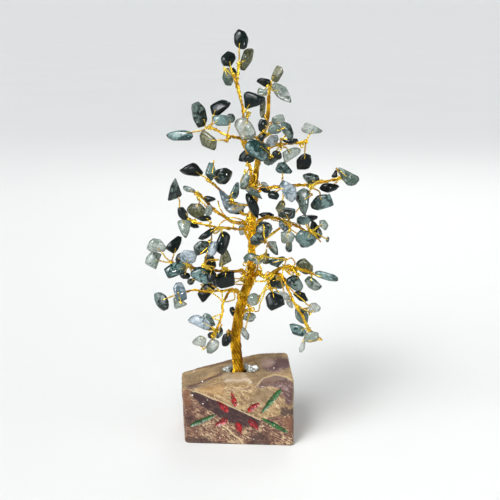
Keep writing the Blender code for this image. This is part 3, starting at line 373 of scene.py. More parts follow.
class Layout:
    """Short stretches of every wire and chip on the front view, with what moves each back or forward."""

    def __init__(self):
        self.ends, self.radii, self.deep, self.base = [], [], [], []
        self.owner, self.own, self.wire, self.movers = [], [], [], []
        self.backs = []

    def variable(self, back):
        self.backs.append(back)
        return len(self.backs) - 1

    def add(self, a, b, radius, deep, owner, own, wire, movers):
        self.ends.append((a[:2], b[:2]))
        self.radii.append(radius)
        self.deep.append(deep)
        self.base.append((a[2] + b[2]) / 2)
        self.owner.append(owner)
        self.own.append(own)
        self.wire.append(wire)
        self.movers.append((list(movers) + [(-1, 0.0)] * 2)[:2])

    def add_wire(self, points, radius, owner, own, movers_at=None, longest=3):
        for i in range(len(points) - 1):
            a, b = np.array(points[i], float), np.array(points[i + 1], float)
            parts = max(1, math.ceil(np.linalg.norm((b - a)[:2]) / longest))
            for k in range(parts):
                one, two = a + (b - a) * k / parts, a + (b - a) * (k + 1) / parts
                share = (i + (k + 0.5) / parts) / (len(points) - 1)
                movers = movers_at(share) if movers_at else []
                deep = radius + abs(two[2] - one[2]) / 2
                self.add(one, two, radius, deep, owner, own, True, movers)

    def close_pairs(self):
        """Pairs that meet on the front view and so have to be kept apart in depth."""
        ends, radii = np.array(self.ends), np.array(self.radii)
        shares = np.linspace(0, 1, 5)[:, None]
        dots = ends[:, None, 0] + (ends[:, None, 1] - ends[:, None, 0]) * shares
        owner = np.unique(self.owner, return_inverse=True)[1]
        names = {name: n for n, name in enumerate(sorted(set(self.own) | set(self.owner)))}
        own = np.array([names[name] for name in self.own])
        holder = np.array([names[name] for name in self.owner])
        wire = np.array(self.wire)
        fixed = np.array([m[0][0] < 0 for m in self.movers])
        i, j = np.triu_indices(len(radii), 1)
        reach = radii[i] + radii[j] + CLEARANCE + LONGEST_STRETCH
        near = np.linalg.norm(dots[i, 2] - dots[j, 2], axis=1) < reach
        i, j = i[near], j[near]
        keep = ~(fixed[i] & fixed[j]) & (own[i] != own[j]) & (own[i] != holder[j]) & (own[j] != holder[i])
        keep &= ~((owner[i] == owner[j]) & wire[i] & wire[j])
        i, j = i[keep], j[keep]
        apart = np.linalg.norm(dots[i][:, :, None] - dots[j][:, None], axis=3).min(axis=(1, 2))
        meet = apart < radii[i] + radii[j] + CLEARANCE
        return i[meet], j[meet]

    def settle(self, rounds=600, homing=350, patience=0.02):
        """Depths at which nothing on the front view touches anything else, kept near home at first."""
        i, j = self.close_pairs()
        deep, base = np.array(self.deep), np.array(self.base)
        mover = np.array([[m[0] for m in pair] for pair in self.movers])
        weight = np.array([[m[1] for m in pair] for pair in self.movers])
        least = deep[i] + deep[j] + CLEARANCE
        moved = np.zeros(len(self.backs) + 1)
        for turn in range(rounds):
            at = base + (moved[mover] * weight).sum(axis=1)
            apart = at[j] - at[i]
            short = least - np.abs(apart)
            push = np.where(short > 0, short, 0) * np.where(apart >= 0, 1, -1)
            change, count = np.zeros(len(moved)), np.zeros(len(moved))
            for side, sign in ((i, -1), (j, 1)):
                for m in range(2):
                    share = weight[side, m] * (short > 0)
                    np.add.at(change, mover[side, m], sign * push * share)
                    np.add.at(count, mover[side, m], share)
            if short.max() < patience:
                break
            moved += 0.7 * change / np.maximum(count, 1) ** 0.75
            if turn < homing:
                moved *= 0.985
            moved[-1] = 0
        return np.array(self.backs) + moved[:-1]


def space_out(routes):
    """Depth of every joint and chip, in the order of the table: a joint, then its chips."""
    layout = Layout()
    for name, route in routes.items():
        for k in range(len(route) - 1):
            layout.add_wire(route[k:k + 2], radius_on(name, k / (len(route) - 1)) / STEP, name, name)
    number = 0
    draw = random.Random(DEPTH_SEED)
    for name, sprig in SPRIGS.items():
        joint = layout.variable(sprig.joint[2])
        root = leave(sprig.branch, routes[sprig.branch], sprig.share, sprig.joint, STEM_DIAMETER / 2)
        layout.add_wire([root, sprig.joint], STEM_DIAMETER / 2 / STEP, name, sprig.branch,
                        lambda share: [(joint, share)])
        for chip in sprig.chips:
            place = layout.variable(sprig.joint[2] + draw.uniform(-7, 7))
            back = layout.backs[place]
            turn = math.radians(chip.turn)
            ahead = np.array([math.cos(turn), math.sin(turn), 0]) * (chip.length - chip.width) / 2
            middle = np.array([chip.across, chip.up, back])
            points, *axes = chip_points(chip, number, back)
            depths = [point.y for point in points]
            deep = (max(depths) - min(depths)) / 2 / STEP
            end = place_of(hole(*axes, seen(*sprig.joint)[0]))
            own = f"chip {number}"
            layout.add(middle - ahead, middle + ahead, chip.width / 2, deep, name, own, False, [(place, 1)])
            layout.add_wire([sprig.joint, [*end, back]],
                            TWIG_DIAMETER / 2 / STEP, name, own,
                            lambda share: [(joint, 1 - share), (place, share)])
            number += 1
    return layout.settle()


# Wires

def frames(points):
    """Directions ahead, across and aside at each point, turning as little as they can."""
    points = np.array(points, float)
    ahead = np.gradient(points, axis=0)
    ahead /= np.linalg.norm(ahead, axis=1)[:, None]
    across = np.zeros_like(points)
    last = np.cross(ahead[0], (0.0, 1.0, 0.0))
    for k, way in enumerate(ahead):
        last = last - way * last.dot(way)
        last /= np.linalg.norm(last)
        across[k] = last
    return ahead, across, np.cross(ahead, across)


def run_lengths(points):
    return np.concatenate([[0], np.cumsum(np.linalg.norm(np.diff(points, axis=0), axis=1))])


def evenly(points, spacing):
    """The same path with points a spacing apart."""
    points = np.array(points, float)
    lengths = run_lengths(points)
    count = max(3, math.ceil(lengths[-1] / spacing) + 1)
    at = np.linspace(0, lengths[-1], count)
    return np.column_stack([np.interp(at, lengths, points[:, k]) for k in range(3)])


def curved(points, spacing=0.0006):
    return evenly(smooth(points, 8), spacing)


def spread(values, count):
    """Values spread evenly over a count of points."""
    return np.interp(np.linspace(0, 1, count), np.linspace(0, 1, len(values)), values)


def give(tree, socket, value):
    """Links a socket to another, or sets its value."""
    if isinstance(value, bpy.types.NodeSocket):
        tree.links.new(value, socket)
    else:
        socket.default_value = value


def new_tree(name, kind, given, handed_out):
    """A tree of nodes with its sockets: the tree, what it is given and what it hands out."""
    tree = bpy.data.node_groups.new(name, kind + "NodeTree")
    for way, sockets in (("INPUT", given), ("OUTPUT", handed_out)):
        for socket, socket_kind in sockets.items():
            tree.interface.new_socket(socket, in_out=way, socket_type="NodeSocket" + socket_kind)
    return tree, tree.nodes.new("NodeGroupInput").outputs, tree.nodes.new("NodeGroupOutput").inputs


def hand_out(tree, geometry, finish, socket):
    """Real geometry with its finish, handed out by a tree."""
    real = put(tree, "GeometryNodeRealizeInstances", {"Geometry": geometry})
    finished = put(tree, "GeometryNodeSetMaterial", {"Geometry": real.outputs[0], "Material": finish})
    tree.links.new(finished.outputs[0], socket)


def wire_tree():
    """Nodes that lay twisted wires along each route of a mesh of edges."""
    tree, given, end = new_tree("twisted wires", "Geometry",
                                {"Routes": "Geometry", "Sides": "Int", "Finish": "Material"},
                                {"Wires": "Geometry"})

    def stored(name, kind="FLOAT"):
        found = put(tree, "GeometryNodeInputNamedAttribute", {"Name": name}, data_type=kind)
        return found.outputs["Attribute"]

    strands, wire = stored("strands", "INT"), stored("wire")
    curve = put(tree, "GeometryNodeMeshToCurve", {"Mesh": given["Routes"]})
    copies = put(tree, "GeometryNodeDuplicateElements", {"Geometry": curve.outputs[0], "Amount": strands},
                 domain="SPLINE")
    share = calc(tree, "DIVIDE", copies.outputs["Duplicate Index"], strands)
    angle = calc(tree, "MULTIPLY_ADD", share, math.tau, stored("turn"))
    normal = put(tree, "GeometryNodeInputNormal").outputs["Normal"]
    tangent = put(tree, "GeometryNodeInputTangent").outputs[0]
    aside = vector(tree, "CROSS_PRODUCT", tangent, normal)
    one = vector(tree, "SCALE", normal, scale=calc(tree, "COSINE", angle))
    two = vector(tree, "SCALE", aside, scale=calc(tree, "SINE", angle))
    away = vector(tree, "SCALE", vector(tree, "ADD", one, two), scale=stored("rope"))
    moved = put(tree, "GeometryNodeSetPosition", {"Geometry": copies.outputs["Geometry"], "Offset": away})
    thick = put(tree, "GeometryNodeSetCurveRadius", {"Curve": moved.outputs[0], "Radius": wire})
    ring = put(tree, "GeometryNodeCurvePrimitiveCircle", {"Resolution": given["Sides"], "Radius": 1.0})
    swept = put(tree, "GeometryNodeCurveToMesh",
                {"Curve": thick.outputs[0], "Profile Curve": ring.outputs[0], "Scale": wire,
                 "Fill Caps": True})
    even = put(tree, "GeometryNodeSetShadeSmooth", {"Geometry": swept.outputs[0]})
    hand_out(tree, even.outputs[0], given["Finish"], end["Wires"])
    return tree


def put(tree, kind, inputs=None, **settings):
    """A node with its settings, and its inputs linked or set."""
    made = tree.nodes.new(kind)
    for name, value in settings.items():
        setattr(made, name, value)
    for name, value in (inputs or {}).items():
        give(tree, made.inputs[name], value)
    return made


def calc(tree, operation, *values, clamp=False):
    inputs = dict(enumerate(values))
    return put(tree, "ShaderNodeMath", inputs, operation=operation, use_clamp=clamp).outputs[0]


def vector(tree, operation, *values, scale=None):
    inputs = dict(enumerate(values))
    if scale is not None:
        inputs["Scale"] = scale
    return put(tree, "ShaderNodeVectorMath", inputs, operation=operation).outputs[0]


def speckle(tree, place, scale, detail, rough=0.5, distort=0.0):
    """Values of smooth noise."""
    inputs = {"Vector": place, "Scale": scale, "Detail": detail, "Roughness": rough, "Distortion": distort}
    return put(tree, "ShaderNodeTexNoise", inputs).outputs["Fac"]


def eased(tree, value, start, end, low=0.0, high=1.0):
    """From low to high as a value goes from start to end."""
    return put(tree, "ShaderNodeMapRange",
               {"Value": value, "From Min": start, "From Max": end, "To Min": low, "To Max": high},
               interpolation_type="SMOOTHSTEP").outputs[0]


def placed(name, data):
    """An object in the scene."""
    made = bpy.data.objects.new(name, data)
    bpy.context.scene.collection.objects.link(made)
    return made


def store(mesh, stored):
    """Keeps named values at the points of a mesh."""
    for name, values in stored.items():
        kind = "INT" if name == "strands" else "FLOAT"
        mesh.attributes.new(name, kind, "POINT").data.foreach_set("value", values)


def plain_mesh(name, modifier_tree, values, mesh):
    """The mesh that a tree of geometry nodes makes from another mesh."""
    source = placed(name, mesh)
    modifier = source.modifiers.new(name, "NODES")
    modifier.node_group = modifier_tree
    for item in modifier_tree.interface.items_tree:
        if item.in_out == "INPUT" and item.name in values:
            modifier[item.identifier] = values[item.name]
    graph = bpy.context.evaluated_depsgraph_get()
    made = bpy.data.meshes.new_from_object(source.evaluated_get(graph))
    bpy.data.objects.remove(source)
    made.name = name
    return made


def lay_wires(name, laid, finish):
    """A piece of twisted wires along routes."""
    points, edges = [], []
    stored = {"rope": [], "wire": [], "turn": [], "strands": []}
    draw = random.Random(name)
    for route in laid:
        first = len(points)
        count = len(route.points)
        points += [tuple(point) for point in route.points]
        edges += [(first + k, first + k + 1) for k in range(count - 1)]
        stored["rope"] += list(spread(route.rope, count))
        stored["wire"] += list(spread(route.wire, count))
        turn = draw.uniform(0, math.tau) + run_lengths(np.array(route.points)) * math.tau / route.pitch
        stored["turn"] += list(turn)
        stored["strands"] += [route.strands] * count
    mesh = bpy.data.meshes.new(name)
    mesh.from_pydata(points, edges, [])
    store(mesh, stored)
    made = plain_mesh(name, WIRE_TREE, {"Sides": WIRE_SIDES, "Finish": finish}, mesh)
    return piece(name, made, "gold_wire")


def piece(name, mesh, slot_name, *nodes):
    """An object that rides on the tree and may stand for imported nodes."""
    obj = placed(name, mesh)
    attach(obj, "root")
    if nodes:
        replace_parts(obj, *nodes)
    return obj


def world_points(route):
    return np.array([seen(*place)[0] for place in route])


def unit(way):
    return way / np.linalg.norm(way)


def square_to(axis, hint):
    """Two directions square to an axis and to each other."""
    one = unit(np.cross(axis, hint))
    return one, unit(np.cross(axis, one))


def any_way(draw):
    return np.array([draw.gauss(0, 1) for _ in range(3)])


def winding(points, reach, start, pitch):
    """A path that winds round another at a reach that may change along it."""
    _, across, aside = frames(points)
    angle = (start + run_lengths(points) * math.tau / pitch)[:, None]
    away = across * np.cos(angle) + aside * np.sin(angle)
    return points + away * spread(reach, len(points))[:, None]


def trunk_wires():
    """Bundles of wires wound into the trunk, thinner wires where the trunk is thin."""
    foot = np.array([FOOT_X, 0, SEAT_HEIGHT - HOLE_DEPTH + GAP])
    points = curved(np.vstack([foot, world_points(ROUTES["trunk"])]), TRUNK_SPACING)
    count = len(points)
    shares = np.linspace(-0.06, 1, count).clip(0, 1)
    radii = np.array([trunk_radius(share) for share in shares])
    laid = []
    low, high = int(count * BUNDLES_END), int(count * ROPE_START)
    for k in range(BUNDLES):
        bundle = radii[:low] * BUNDLE_SHARE
        path = winding(points[:low], radii[:low] - bundle, math.tau * k / BUNDLES, TRUNK_PITCH)
        laid.append(Route(path, bundle * 0.6, bundle * 0.4, BUNDLE_STRANDS, BUNDLE_PITCH))
    upper = Route(points[high:], radii[high:] - 0.0001, [UPPER_WIRE], UPPER_STRANDS, UPPER_PITCH)
    laid.append(upper)
    laid.append(Route(points[8:], radii[8:] + 0.00006, [LOOSE_WIRE], 2, -0.036))
    core = [Route(points, radii * 0.42, radii * 0.3, 5, -0.03)]
    return laid, core


def branch_wires(name):
    """Wires of a branch, which run up its parent before they leave it."""
    parent, share, _, _ = BRANCHES[name]
    own = world_points(ROUTES[name])
    parent_points = evenly(world_points(ROUTES[parent]), ROUTE_SPACING)
    last = int(share * (len(parent_points) - 1))
    first = max(0, last - (24 if parent == "trunk" else 10))
    shared = parent_points[first:last + 1]
    _, across, aside = frames(shared)
    towards = own[0] - parent_points[last]
    end = math.atan2(towards.dot(aside[-1]), towards.dot(across[-1]))
    lengths = run_lengths(shared)
    angle = (end + (lengths - lengths[-1]) * math.tau / TRUNK_PITCH)[:, None]
    reach = radius_on(parent, share) - 0.2 * branch_radius(name, 0)
    around = shared + (across * np.cos(angle) + aside * np.sin(angle)) * reach
    points = curved(np.vstack([around[:-3:4], own[1:]]))
    count = len(points)
    strands = max(3, round(branch_radius(name, 0) / BRANCH_WIRE * 1.5))
    full = np.array([branch_radius(name, k / count) for k in range(count)])
    ropes = full * BRANCH_FULLNESS - BRANCH_WIRE
    start = min(12, count // 3)
    ropes[:start] *= np.linspace(0.5, 1, start)
    ropes[-6:] *= np.linspace(1, 0.6, 6)
    pitch = BRANCH_PITCH + 0.001 * strands
    laid = [Route(points, ropes.clip(0.0002), [BRANCH_WIRE], strands, pitch)]

    # Wires that wind loosely round the rope, and some that leave the parent above or below it
    draw = random.Random(name)
    for pitch in LOOSE_PITCHES:
        waves = np.array([draw.uniform(0.0, 0.00042) for _ in range(9)])
        reach = spread(waves, count) + ropes + BRANCH_WIRE
        laid.append(Route(points, reach, [LOOSE_WIRE], 1, pitch))
    leaving = int(np.linalg.norm(points - own[0], axis=1).argmin())
    for shift in (-6, -4, 4):
        leave_at = parent_points[int(np.clip(last + shift, 0, len(parent_points) - 1))]
        meet_at = points[min(count - 1, leaving + draw.randint(2, 7))]
        bulge = np.array([draw.uniform(-1, 1) for _ in range(3)]) * 0.0012
        between = (leave_at + meet_at) / 2 + bulge
        laid.append(Route(curved([leave_at, between, meet_at]), [0.00024], [LOOSE_WIRE], 2, 0.004))
    return laid


def stray_wires():
    """Loose wires and loops that stand out from the ropes round the forks."""
    laid = []
    ropes = np.vstack([evenly(world_points(route), 0.0006) for route in ROUTES.values()])
    shown, depths = places_of(ropes), (ropes - np.array(EYE)) @ np.array(VIEW_DEPTH)
    for place in LOOSE_RUNS:
        points = list(world_points(place))
        for first in (True, False):
            end = points[0 if first else -1]
            near = ropes[np.linalg.norm(ropes - end, axis=1).argmin()]
            if 0.0004 < np.linalg.norm(near - end) < JOIN_REACH:
                points.insert(0 if first else len(points), near)
        laid.append(Route(curved(points, FINE_SPACING), [0.00026], [TWIG_WIRE], 2, 0.003))
    for across, up, back, reach, turns in LOOSE_COILS:
        draw = random.Random(round(across * 100 + up))
        middle, step = seen(across, up, back)

        # Each coil lies as deep as the rope that it is seen beside, and its wire starts in that rope
        start = np.linalg.norm(shown - (across, up), axis=1).argmin()
        middle = EYE + (middle - EYE) * (depths[start] / (middle - EYE).dot(VIEW_DEPTH))
        tilt = np.array([draw.uniform(-0.5, 0.5), 1.0, draw.uniform(-0.5, 0.5)])
        one, two = square_to(tilt, (0.2, 0.1, 1.0))
        angle = np.linspace(0, math.tau * turns, int(26 * turns))[:, None]
        ways = one * np.cos(angle) * (1 + 0.18 * np.sin(2.3 * angle)) + two * np.sin(angle)
        depth = tilt * 0.35 * np.sin(1.37 * angle)
        reaches = reach * step * (0.78 + 0.22 * np.cos(0.61 * angle))
        points = np.vstack([ropes[start], np.array(middle) + (ways + depth) * reaches])
        laid.append(Route(evenly(points, COIL_SPACING), [0.0], [LOOSE_WIRE], 1, 1.0))
    return laid


# Tumbled chips and their wires

def rounded_outline(corners, angles, sharpness):
    """Reach of a many-sided outline with rounded corners, in each direction."""
    corners = np.array(corners)
    spans = np.roll(corners, -1, axis=0) - corners
    ways = np.column_stack([spans[:, 1], -spans[:, 0]])
    ways /= np.linalg.norm(ways, axis=1)[:, None]
    far = (ways * corners).sum(axis=1)
    ways[far < 0] *= -1
    near = np.column_stack([np.cos(angles), np.sin(angles)]) @ ways.T / np.abs(far)
    return (np.maximum(near, 0) ** sharpness).sum(axis=1) ** (-1 / sharpness)


def ball_mesh(subdivisions):
    ball = bmesh.new()
    bmesh.ops.create_icosphere(ball, subdivisions=subdivisions, radius=1)
    points = np.array([vert.co[:] for vert in ball.verts])
    faces = np.array([[vert.index for vert in face.verts] for face in ball.faces])
    ball.free()
    return points / np.linalg.norm(points, axis=1)[:, None], faces


def tumbled(draw, outline, thick, axes):
    """Points of a chip's surface round its middle: rounded, with flat patches and small waves."""
    angles = np.arctan2(BALL[:, 1], BALL[:, 0])
    out = np.hypot(BALL[:, 0], BALL[:, 1]) ** draw.uniform(0.66, 0.8)
    out *= rounded_outline(outline, angles, CHIP_SHARPNESS) * CHIP_FULLNESS
    high = thick * CHIP_FULLNESS * np.sign(BALL[:, 2]) * np.abs(BALL[:, 2]) ** 0.85
    across, along_it = out * np.cos(angles), out * np.sin(angles)
    lean = draw.uniform(-0.22, 0.22)
    high += (1 - out / out.max()) * (lean * across + draw.uniform(-0.15, 0.15) * along_it)
    local = np.column_stack([across, along_it, high]) @ axes
    full = [np.ptp(local @ axis) for axis in axes[:2]]
    for _ in range(draw.randint(*CHIP_FLATS)):
        way = unit(np.array([draw.gauss(0, 1), draw.gauss(0, 1), draw.gauss(0, 0.8)]) @ axes)
        beyond = local @ way
        limit = beyond.max() * draw.uniform(*CHIP_FLAT_REACH)
        local -= way * (beyond - limit).clip(0, 1)[:, None] * 0.96

    # The flats cost length and width, which the chip gets back here
    for axis, length in zip(axes, full):
        reach = local @ axis
        grown = length / np.ptp(reach)
        local += axis * ((reach - (reach.max() + reach.min()) / 2) * (grown - 1))[:, None]
    for _ in range(CHIP_WAVE_COUNT):
        wave = any_way(draw)
        wave *= math.tau / draw.uniform(*CHIP_WAVE_LENGTHS) / np.linalg.norm(wave)
        local *= 1 + CHIP_WAVES * np.sin(local @ wave + draw.uniform(0, math.tau))[:, None]
    return local


class Stone:
    """A tumbled chip with flat patches, and the drilled hole that its wire goes through."""

    def __init__(self, chip, number, back, joint):
        corners, self.middle, half_long, half_wide = chip_points(chip, number, back)
        self.chip, self.number = chip, number
        long, wide = half_long.normalized(), half_wide.normalized()
        self.face = long.cross(wide)
        offsets = [corner - self.middle for corner in corners]
        outline = [(offset.dot(long), offset.dot(wide)) for offset in offsets[:-2]]
        thick = sum(abs(offset.dot(self.face)) for offset in offsets[-2:]) / 2
        draw = random.Random(number + 900)
        axes = np.array([long, wide, self.face])
        local = tumbled(draw, outline, thick, axes)
        lie = draw.uniform(0, math.tau)
        side = local @ (axes[0] * math.cos(lie) + axes[1] * math.sin(lie))
        self.side = side / np.abs(side).max()
        # How near the rim each point lies, for the painted shade at the chips' rims
        self.rim = np.hypot(BALL[:, 0], BALL[:, 1]) ** 2
        self.points = local + np.array(self.middle)
        self.skin = BVHTree.FromPolygons(self.points.tolist(), BALL_FACES.tolist())
        self.hole = hole(self.middle, half_long, half_wide, joint)
        towards = joint - self.hole
        flat = towards - self.face * towards.dot(self.face)
        self.towards = flat.normalized() if flat.length > 0.2 * towards.length else long

    def skin_from(self, start, way):
        """Where the surface is met from a point inside, in a direction."""
        met = self.skin.ray_cast(start, way)[0]
        return met if met is not None else start

    def loop(self):
        """The wire's way out of the hole, over the face to the edge, and back under to the hole."""
        rim = self.skin_from(self.hole, self.towards)
        edge = rim + self.towards * 1.6 * LOOP_WIRE
        sides = []
        for side in (1, -1):
            way = self.face * side
            run = []
            for share in (0.0, 0.35, 0.65, 0.85):
                run.append(self.skin_from(self.hole.lerp(rim, share), way) + way * 0.7 * LOOP_WIRE)
            sides.append(run)
        return [self.hole, *sides[0], edge, *sides[1][::-1], self.hole], edge


def chip_mesh(name, stones, looks):
    """One mesh of tumbled chips, each tone with its own material."""
    tones = sorted({stone.chip.tone for stone in stones})
    points, corners, slots = [], [], []
    stored = {"chip_shade": [], "chip_side": [], "chip_rim": []}
    for number, stone in enumerate(stones):
        points.append(stone.points)
        corners.append(BALL_FACES + number * len(BALL))
        slots += [tones.index(stone.chip.tone)] * len(BALL_FACES)
        stored["chip_shade"] += [random.Random(stone.number).uniform(0, 1)] * len(BALL)
        stored["chip_side"] += list(stone.side)
        stored["chip_rim"] += list(stone.rim)
    mesh = bpy.data.meshes.new(name)
    mesh.from_pydata(np.vstack(points).tolist(), [], np.vstack(corners).tolist())
    store(mesh, stored)
    for tone in tones:
        mesh.materials.append(looks[tone])
    mesh.polygons.foreach_set("material_index", slots)
    mesh.shade_smooth()
    return mesh


def sprig_wires(sprig, back, stones):
    """Stem, twisted twigs and the loop through each chip."""
    parent = evenly(world_points(ROUTES[sprig.branch]), ROUTE_SPACING)
    joint = np.array(seen(*sprig.joint[:2], back)[0])
    last = int(sprig.share * (len(parent) - 1))
    stem_points = curved(np.vstack([parent[max(0, last - 7):last + 1:3], joint]))
    strands = min(6, 3 + len(stones) // 2)
    rope = STEM_DIAMETER / 2 - 0.00012
    laid = [Route(stem_points, [rope * 0.7, rope, rope], [BRANCH_WIRE], strands, STEM_PITCH)]
    laid.append(Route(stem_points, [rope * 0.8, rope * 1.5, rope * 1.7, rope], [LOOSE_WIRE], 2, 0.0062))
    run_up = stem_points[max(0, len(stem_points) - 5)]
    for stone in stones:
        draw = random.Random(stone.number + 5000)
        loop, edge = stone.loop()
        edge_point = np.array(edge)
        span = edge_point - joint
        length = np.linalg.norm(span)
        bow = any_way(draw)
        bow -= span * bow.dot(span) / length**2
        bow *= TWIG_BOW * length / np.linalg.norm(bow)
        sag = min(0.35 * length, 0.003)
        before = edge_point + np.array(stone.towards) * sag * 0.6
        path = curved([run_up, joint, joint + span * 0.5 + bow, before, edge_point], FINE_SPACING)
        pair = [TWIG_PAIR * draw.uniform(0.8, 1.25) for _ in range(5)]
        laid.append(Route(path, pair, [TWIG_WIRE], 2, draw.uniform(0.0026, 0.004)))
        laid.append(Route(curved(loop, FINE_SPACING), [0.0], [LOOP_WIRE], 1, 1.0))
    laid.append(knot_wires(joint, sprig))
    return laid


def knot_wires(joint, sprig):
    """A few untidy turns of wire round a joint."""
    axis = unit(any_way(random.Random(sprig.joint[0] * 1000 + sprig.joint[1])))
    one, two = square_to(axis, (0.3, 0.5, 0.8))
    share = np.linspace(0, 1, KNOT_POINTS)[:, None]
    angle = math.tau * KNOT_TURNS * share
    reach = KNOT_DIAMETER / 2 * (1.0 + 0.35 * np.sin(1.7 * angle))
    points = joint + (one * np.cos(angle) + two * np.sin(angle)) * reach + axis * (share - 0.5) * KNOT_LENGTH
    return Route(evenly(points, COIL_SPACING), [0.0], [TWIG_WIRE], 1, 1.0)


# Stone block

def full_width(share, fullest):
    """Width of a petal or leaf along its length, against its fullest."""
    rising = np.sin(np.pi / 2 * (share / fullest).clip(0, 1)) ** 0.6
    falling = np.cos(np.pi / 2 * ((share - fullest) / (1 - fullest)).clip(0, 1)) ** 0.8
    return np.where(share < fullest, rising, falling)


def inside_cut(x, z, start, end, width, fullest):
    """How far points lie inside a petal or leaf, in millimetres, below nothing outside it."""
    start, end = np.array(start), np.array(end)
    length = np.linalg.norm(end - start)
    ahead = (end - start) / length
    along_it = (x - start[0]) * ahead[0] + (z - start[1]) * ahead[1]
    aside = np.abs((z - start[1]) * ahead[0] - (x - start[0]) * ahead[1])
    share = (along_it / length).clip(0, 1)
    half = width / 2 * full_width(share, fullest)
    beyond = np.abs(along_it - share * length)
    return np.where(beyond > 0, -np.hypot(beyond, aside), (half - aside) * 0.9)


def inside_patch(points, outline):
    """How far places on the front view lie inside an outline, in steps, below nothing outside it."""
    outline = np.array(outline, float)
    inside = np.zeros(len(points), bool)
    least = np.full(len(points), 1e9)
    for a, b in zip(outline, np.roll(outline, -1, axis=0)):
        crosses = (a[1] > points[:, 1]) != (b[1] > points[:, 1])
        rise = b[1] - a[1] if b[1] != a[1] else 1e-9
        inside ^= crosses & (points[:, 0] < (b[0] - a[0]) * (points[:, 1] - a[1]) / rise + a[0])
        least = np.minimum(least, far_from(points, a, b))
    return np.where(inside, least, -least)


def far_from(points, a, b):
    span = np.subtract(b, a)
    share = (((points - a) @ span) / (span @ span)).clip(0, 1)
    return np.linalg.norm(points - a - share[:, None] * span, axis=1)


def far_from_line(points, line):
    line = np.array(line, float)
    return np.min([far_from(points, a, b) for a, b in zip(line, line[1:])], axis=0)


def places_of(points):
    """Places on the front view where points are seen."""
    ray = points - np.array(EYE)
    step = ray @ np.array(VIEW_DEPTH) / SIGHT_LENGTH
    return np.column_stack([ray @ np.array(VIEW_RIGHT) / step, SIGHT_UP + ray @ np.array(VIEW_UP) / step])


def unevenness(points):
    """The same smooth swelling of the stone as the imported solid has."""
    draw = random.Random(STONE_SEED)
    total = np.zeros(len(points))
    for size in (0.034, 0.021, 0.013, 0.0085):
        way = unit(np.array([draw.uniform(-1, 1) for _ in range(3)]))
        total += size * np.sin(math.tau * (points @ way) / size + draw.uniform(0, math.tau))
    return total / 0.05


def swing(x):
    """How far forward the block's skewed plan lies at a place across."""
    return BLOCK_SWING / BLOCK_WIDTH * (x - FOOT_X)


def top_height(x, y):
    """Height of the rough top, with the level seat round the trunk."""
    back = ((y + BLOCK_FORWARD + swing(x)) / BLOCK_DEPTH + 0.5).clip(0, 1)
    right = ((x - BLOCK_MIDDLE + BLOCK_SKEW * back) / BLOCK_WIDTH + 0.5).clip(0, 1)
    front_edge = FRONT_LEFT_HEIGHT + (FRONT_RIGHT_HEIGHT - FRONT_LEFT_HEIGHT) * right
    rise = np.sin(np.pi / 2 * right**1.15)
    back_edge = BACK_LEFT_HEIGHT + (BACK_RIGHT_HEIGHT - BACK_LEFT_HEIGHT) * rise
    height = front_edge + (back_edge - front_edge) * back
    blend = ((np.hypot(x - FOOT_X, y) - SEAT_RADIUS) / (0.9 * SEAT_RADIUS)).clip(0, 1)
    blend = blend * blend * (3 - 2 * blend)
    rough = height + ROUGHNESS * unevenness(np.column_stack([x, y, 0 * x]))
    return SEAT_HEIGHT + (rough - SEAT_HEIGHT) * blend


def plan(inset, lean=0.0):
    """Points round the block's rounded plan, drawn in by an inset and shifted right by a lean."""
    half_width, half_depth = BLOCK_WIDTH / 2 - inset, BLOCK_DEPTH / 2 - inset
    radius = max(BLOCK_CORNER - inset, 0.2 * BLOCK_CORNER)
    corners = [(1, -1, -90), (1, 1, 0), (-1, 1, 90), (-1, -1, 180)]
    arcs = []
    for right, back, first in corners:
        angle = np.radians(first + np.linspace(0, 90, CORNER_COLUMNS))
        middle = np.array([right * (half_width - radius), back * (half_depth - radius)])
        arcs.append(middle + radius * np.column_stack([np.cos(angle), np.sin(angle)]))
    points = []
    for arc, following, columns in zip(arcs, arcs[1:] + arcs[:1], SIDE_COLUMNS):
        points.append(arc)
        shares = np.arange(1, columns)[:, None] / columns
        points.append(arc[-1] + (following[0] - arc[-1]) * shares)
    points = np.vstack(points)
    points[:, 0] += BLOCK_MIDDLE + lean - BLOCK_SKEW / BLOCK_DEPTH * (points[:, 1] + BLOCK_DEPTH / 2)
    points[:, 1] -= BLOCK_FORWARD + swing(points[:, 0])
    return points


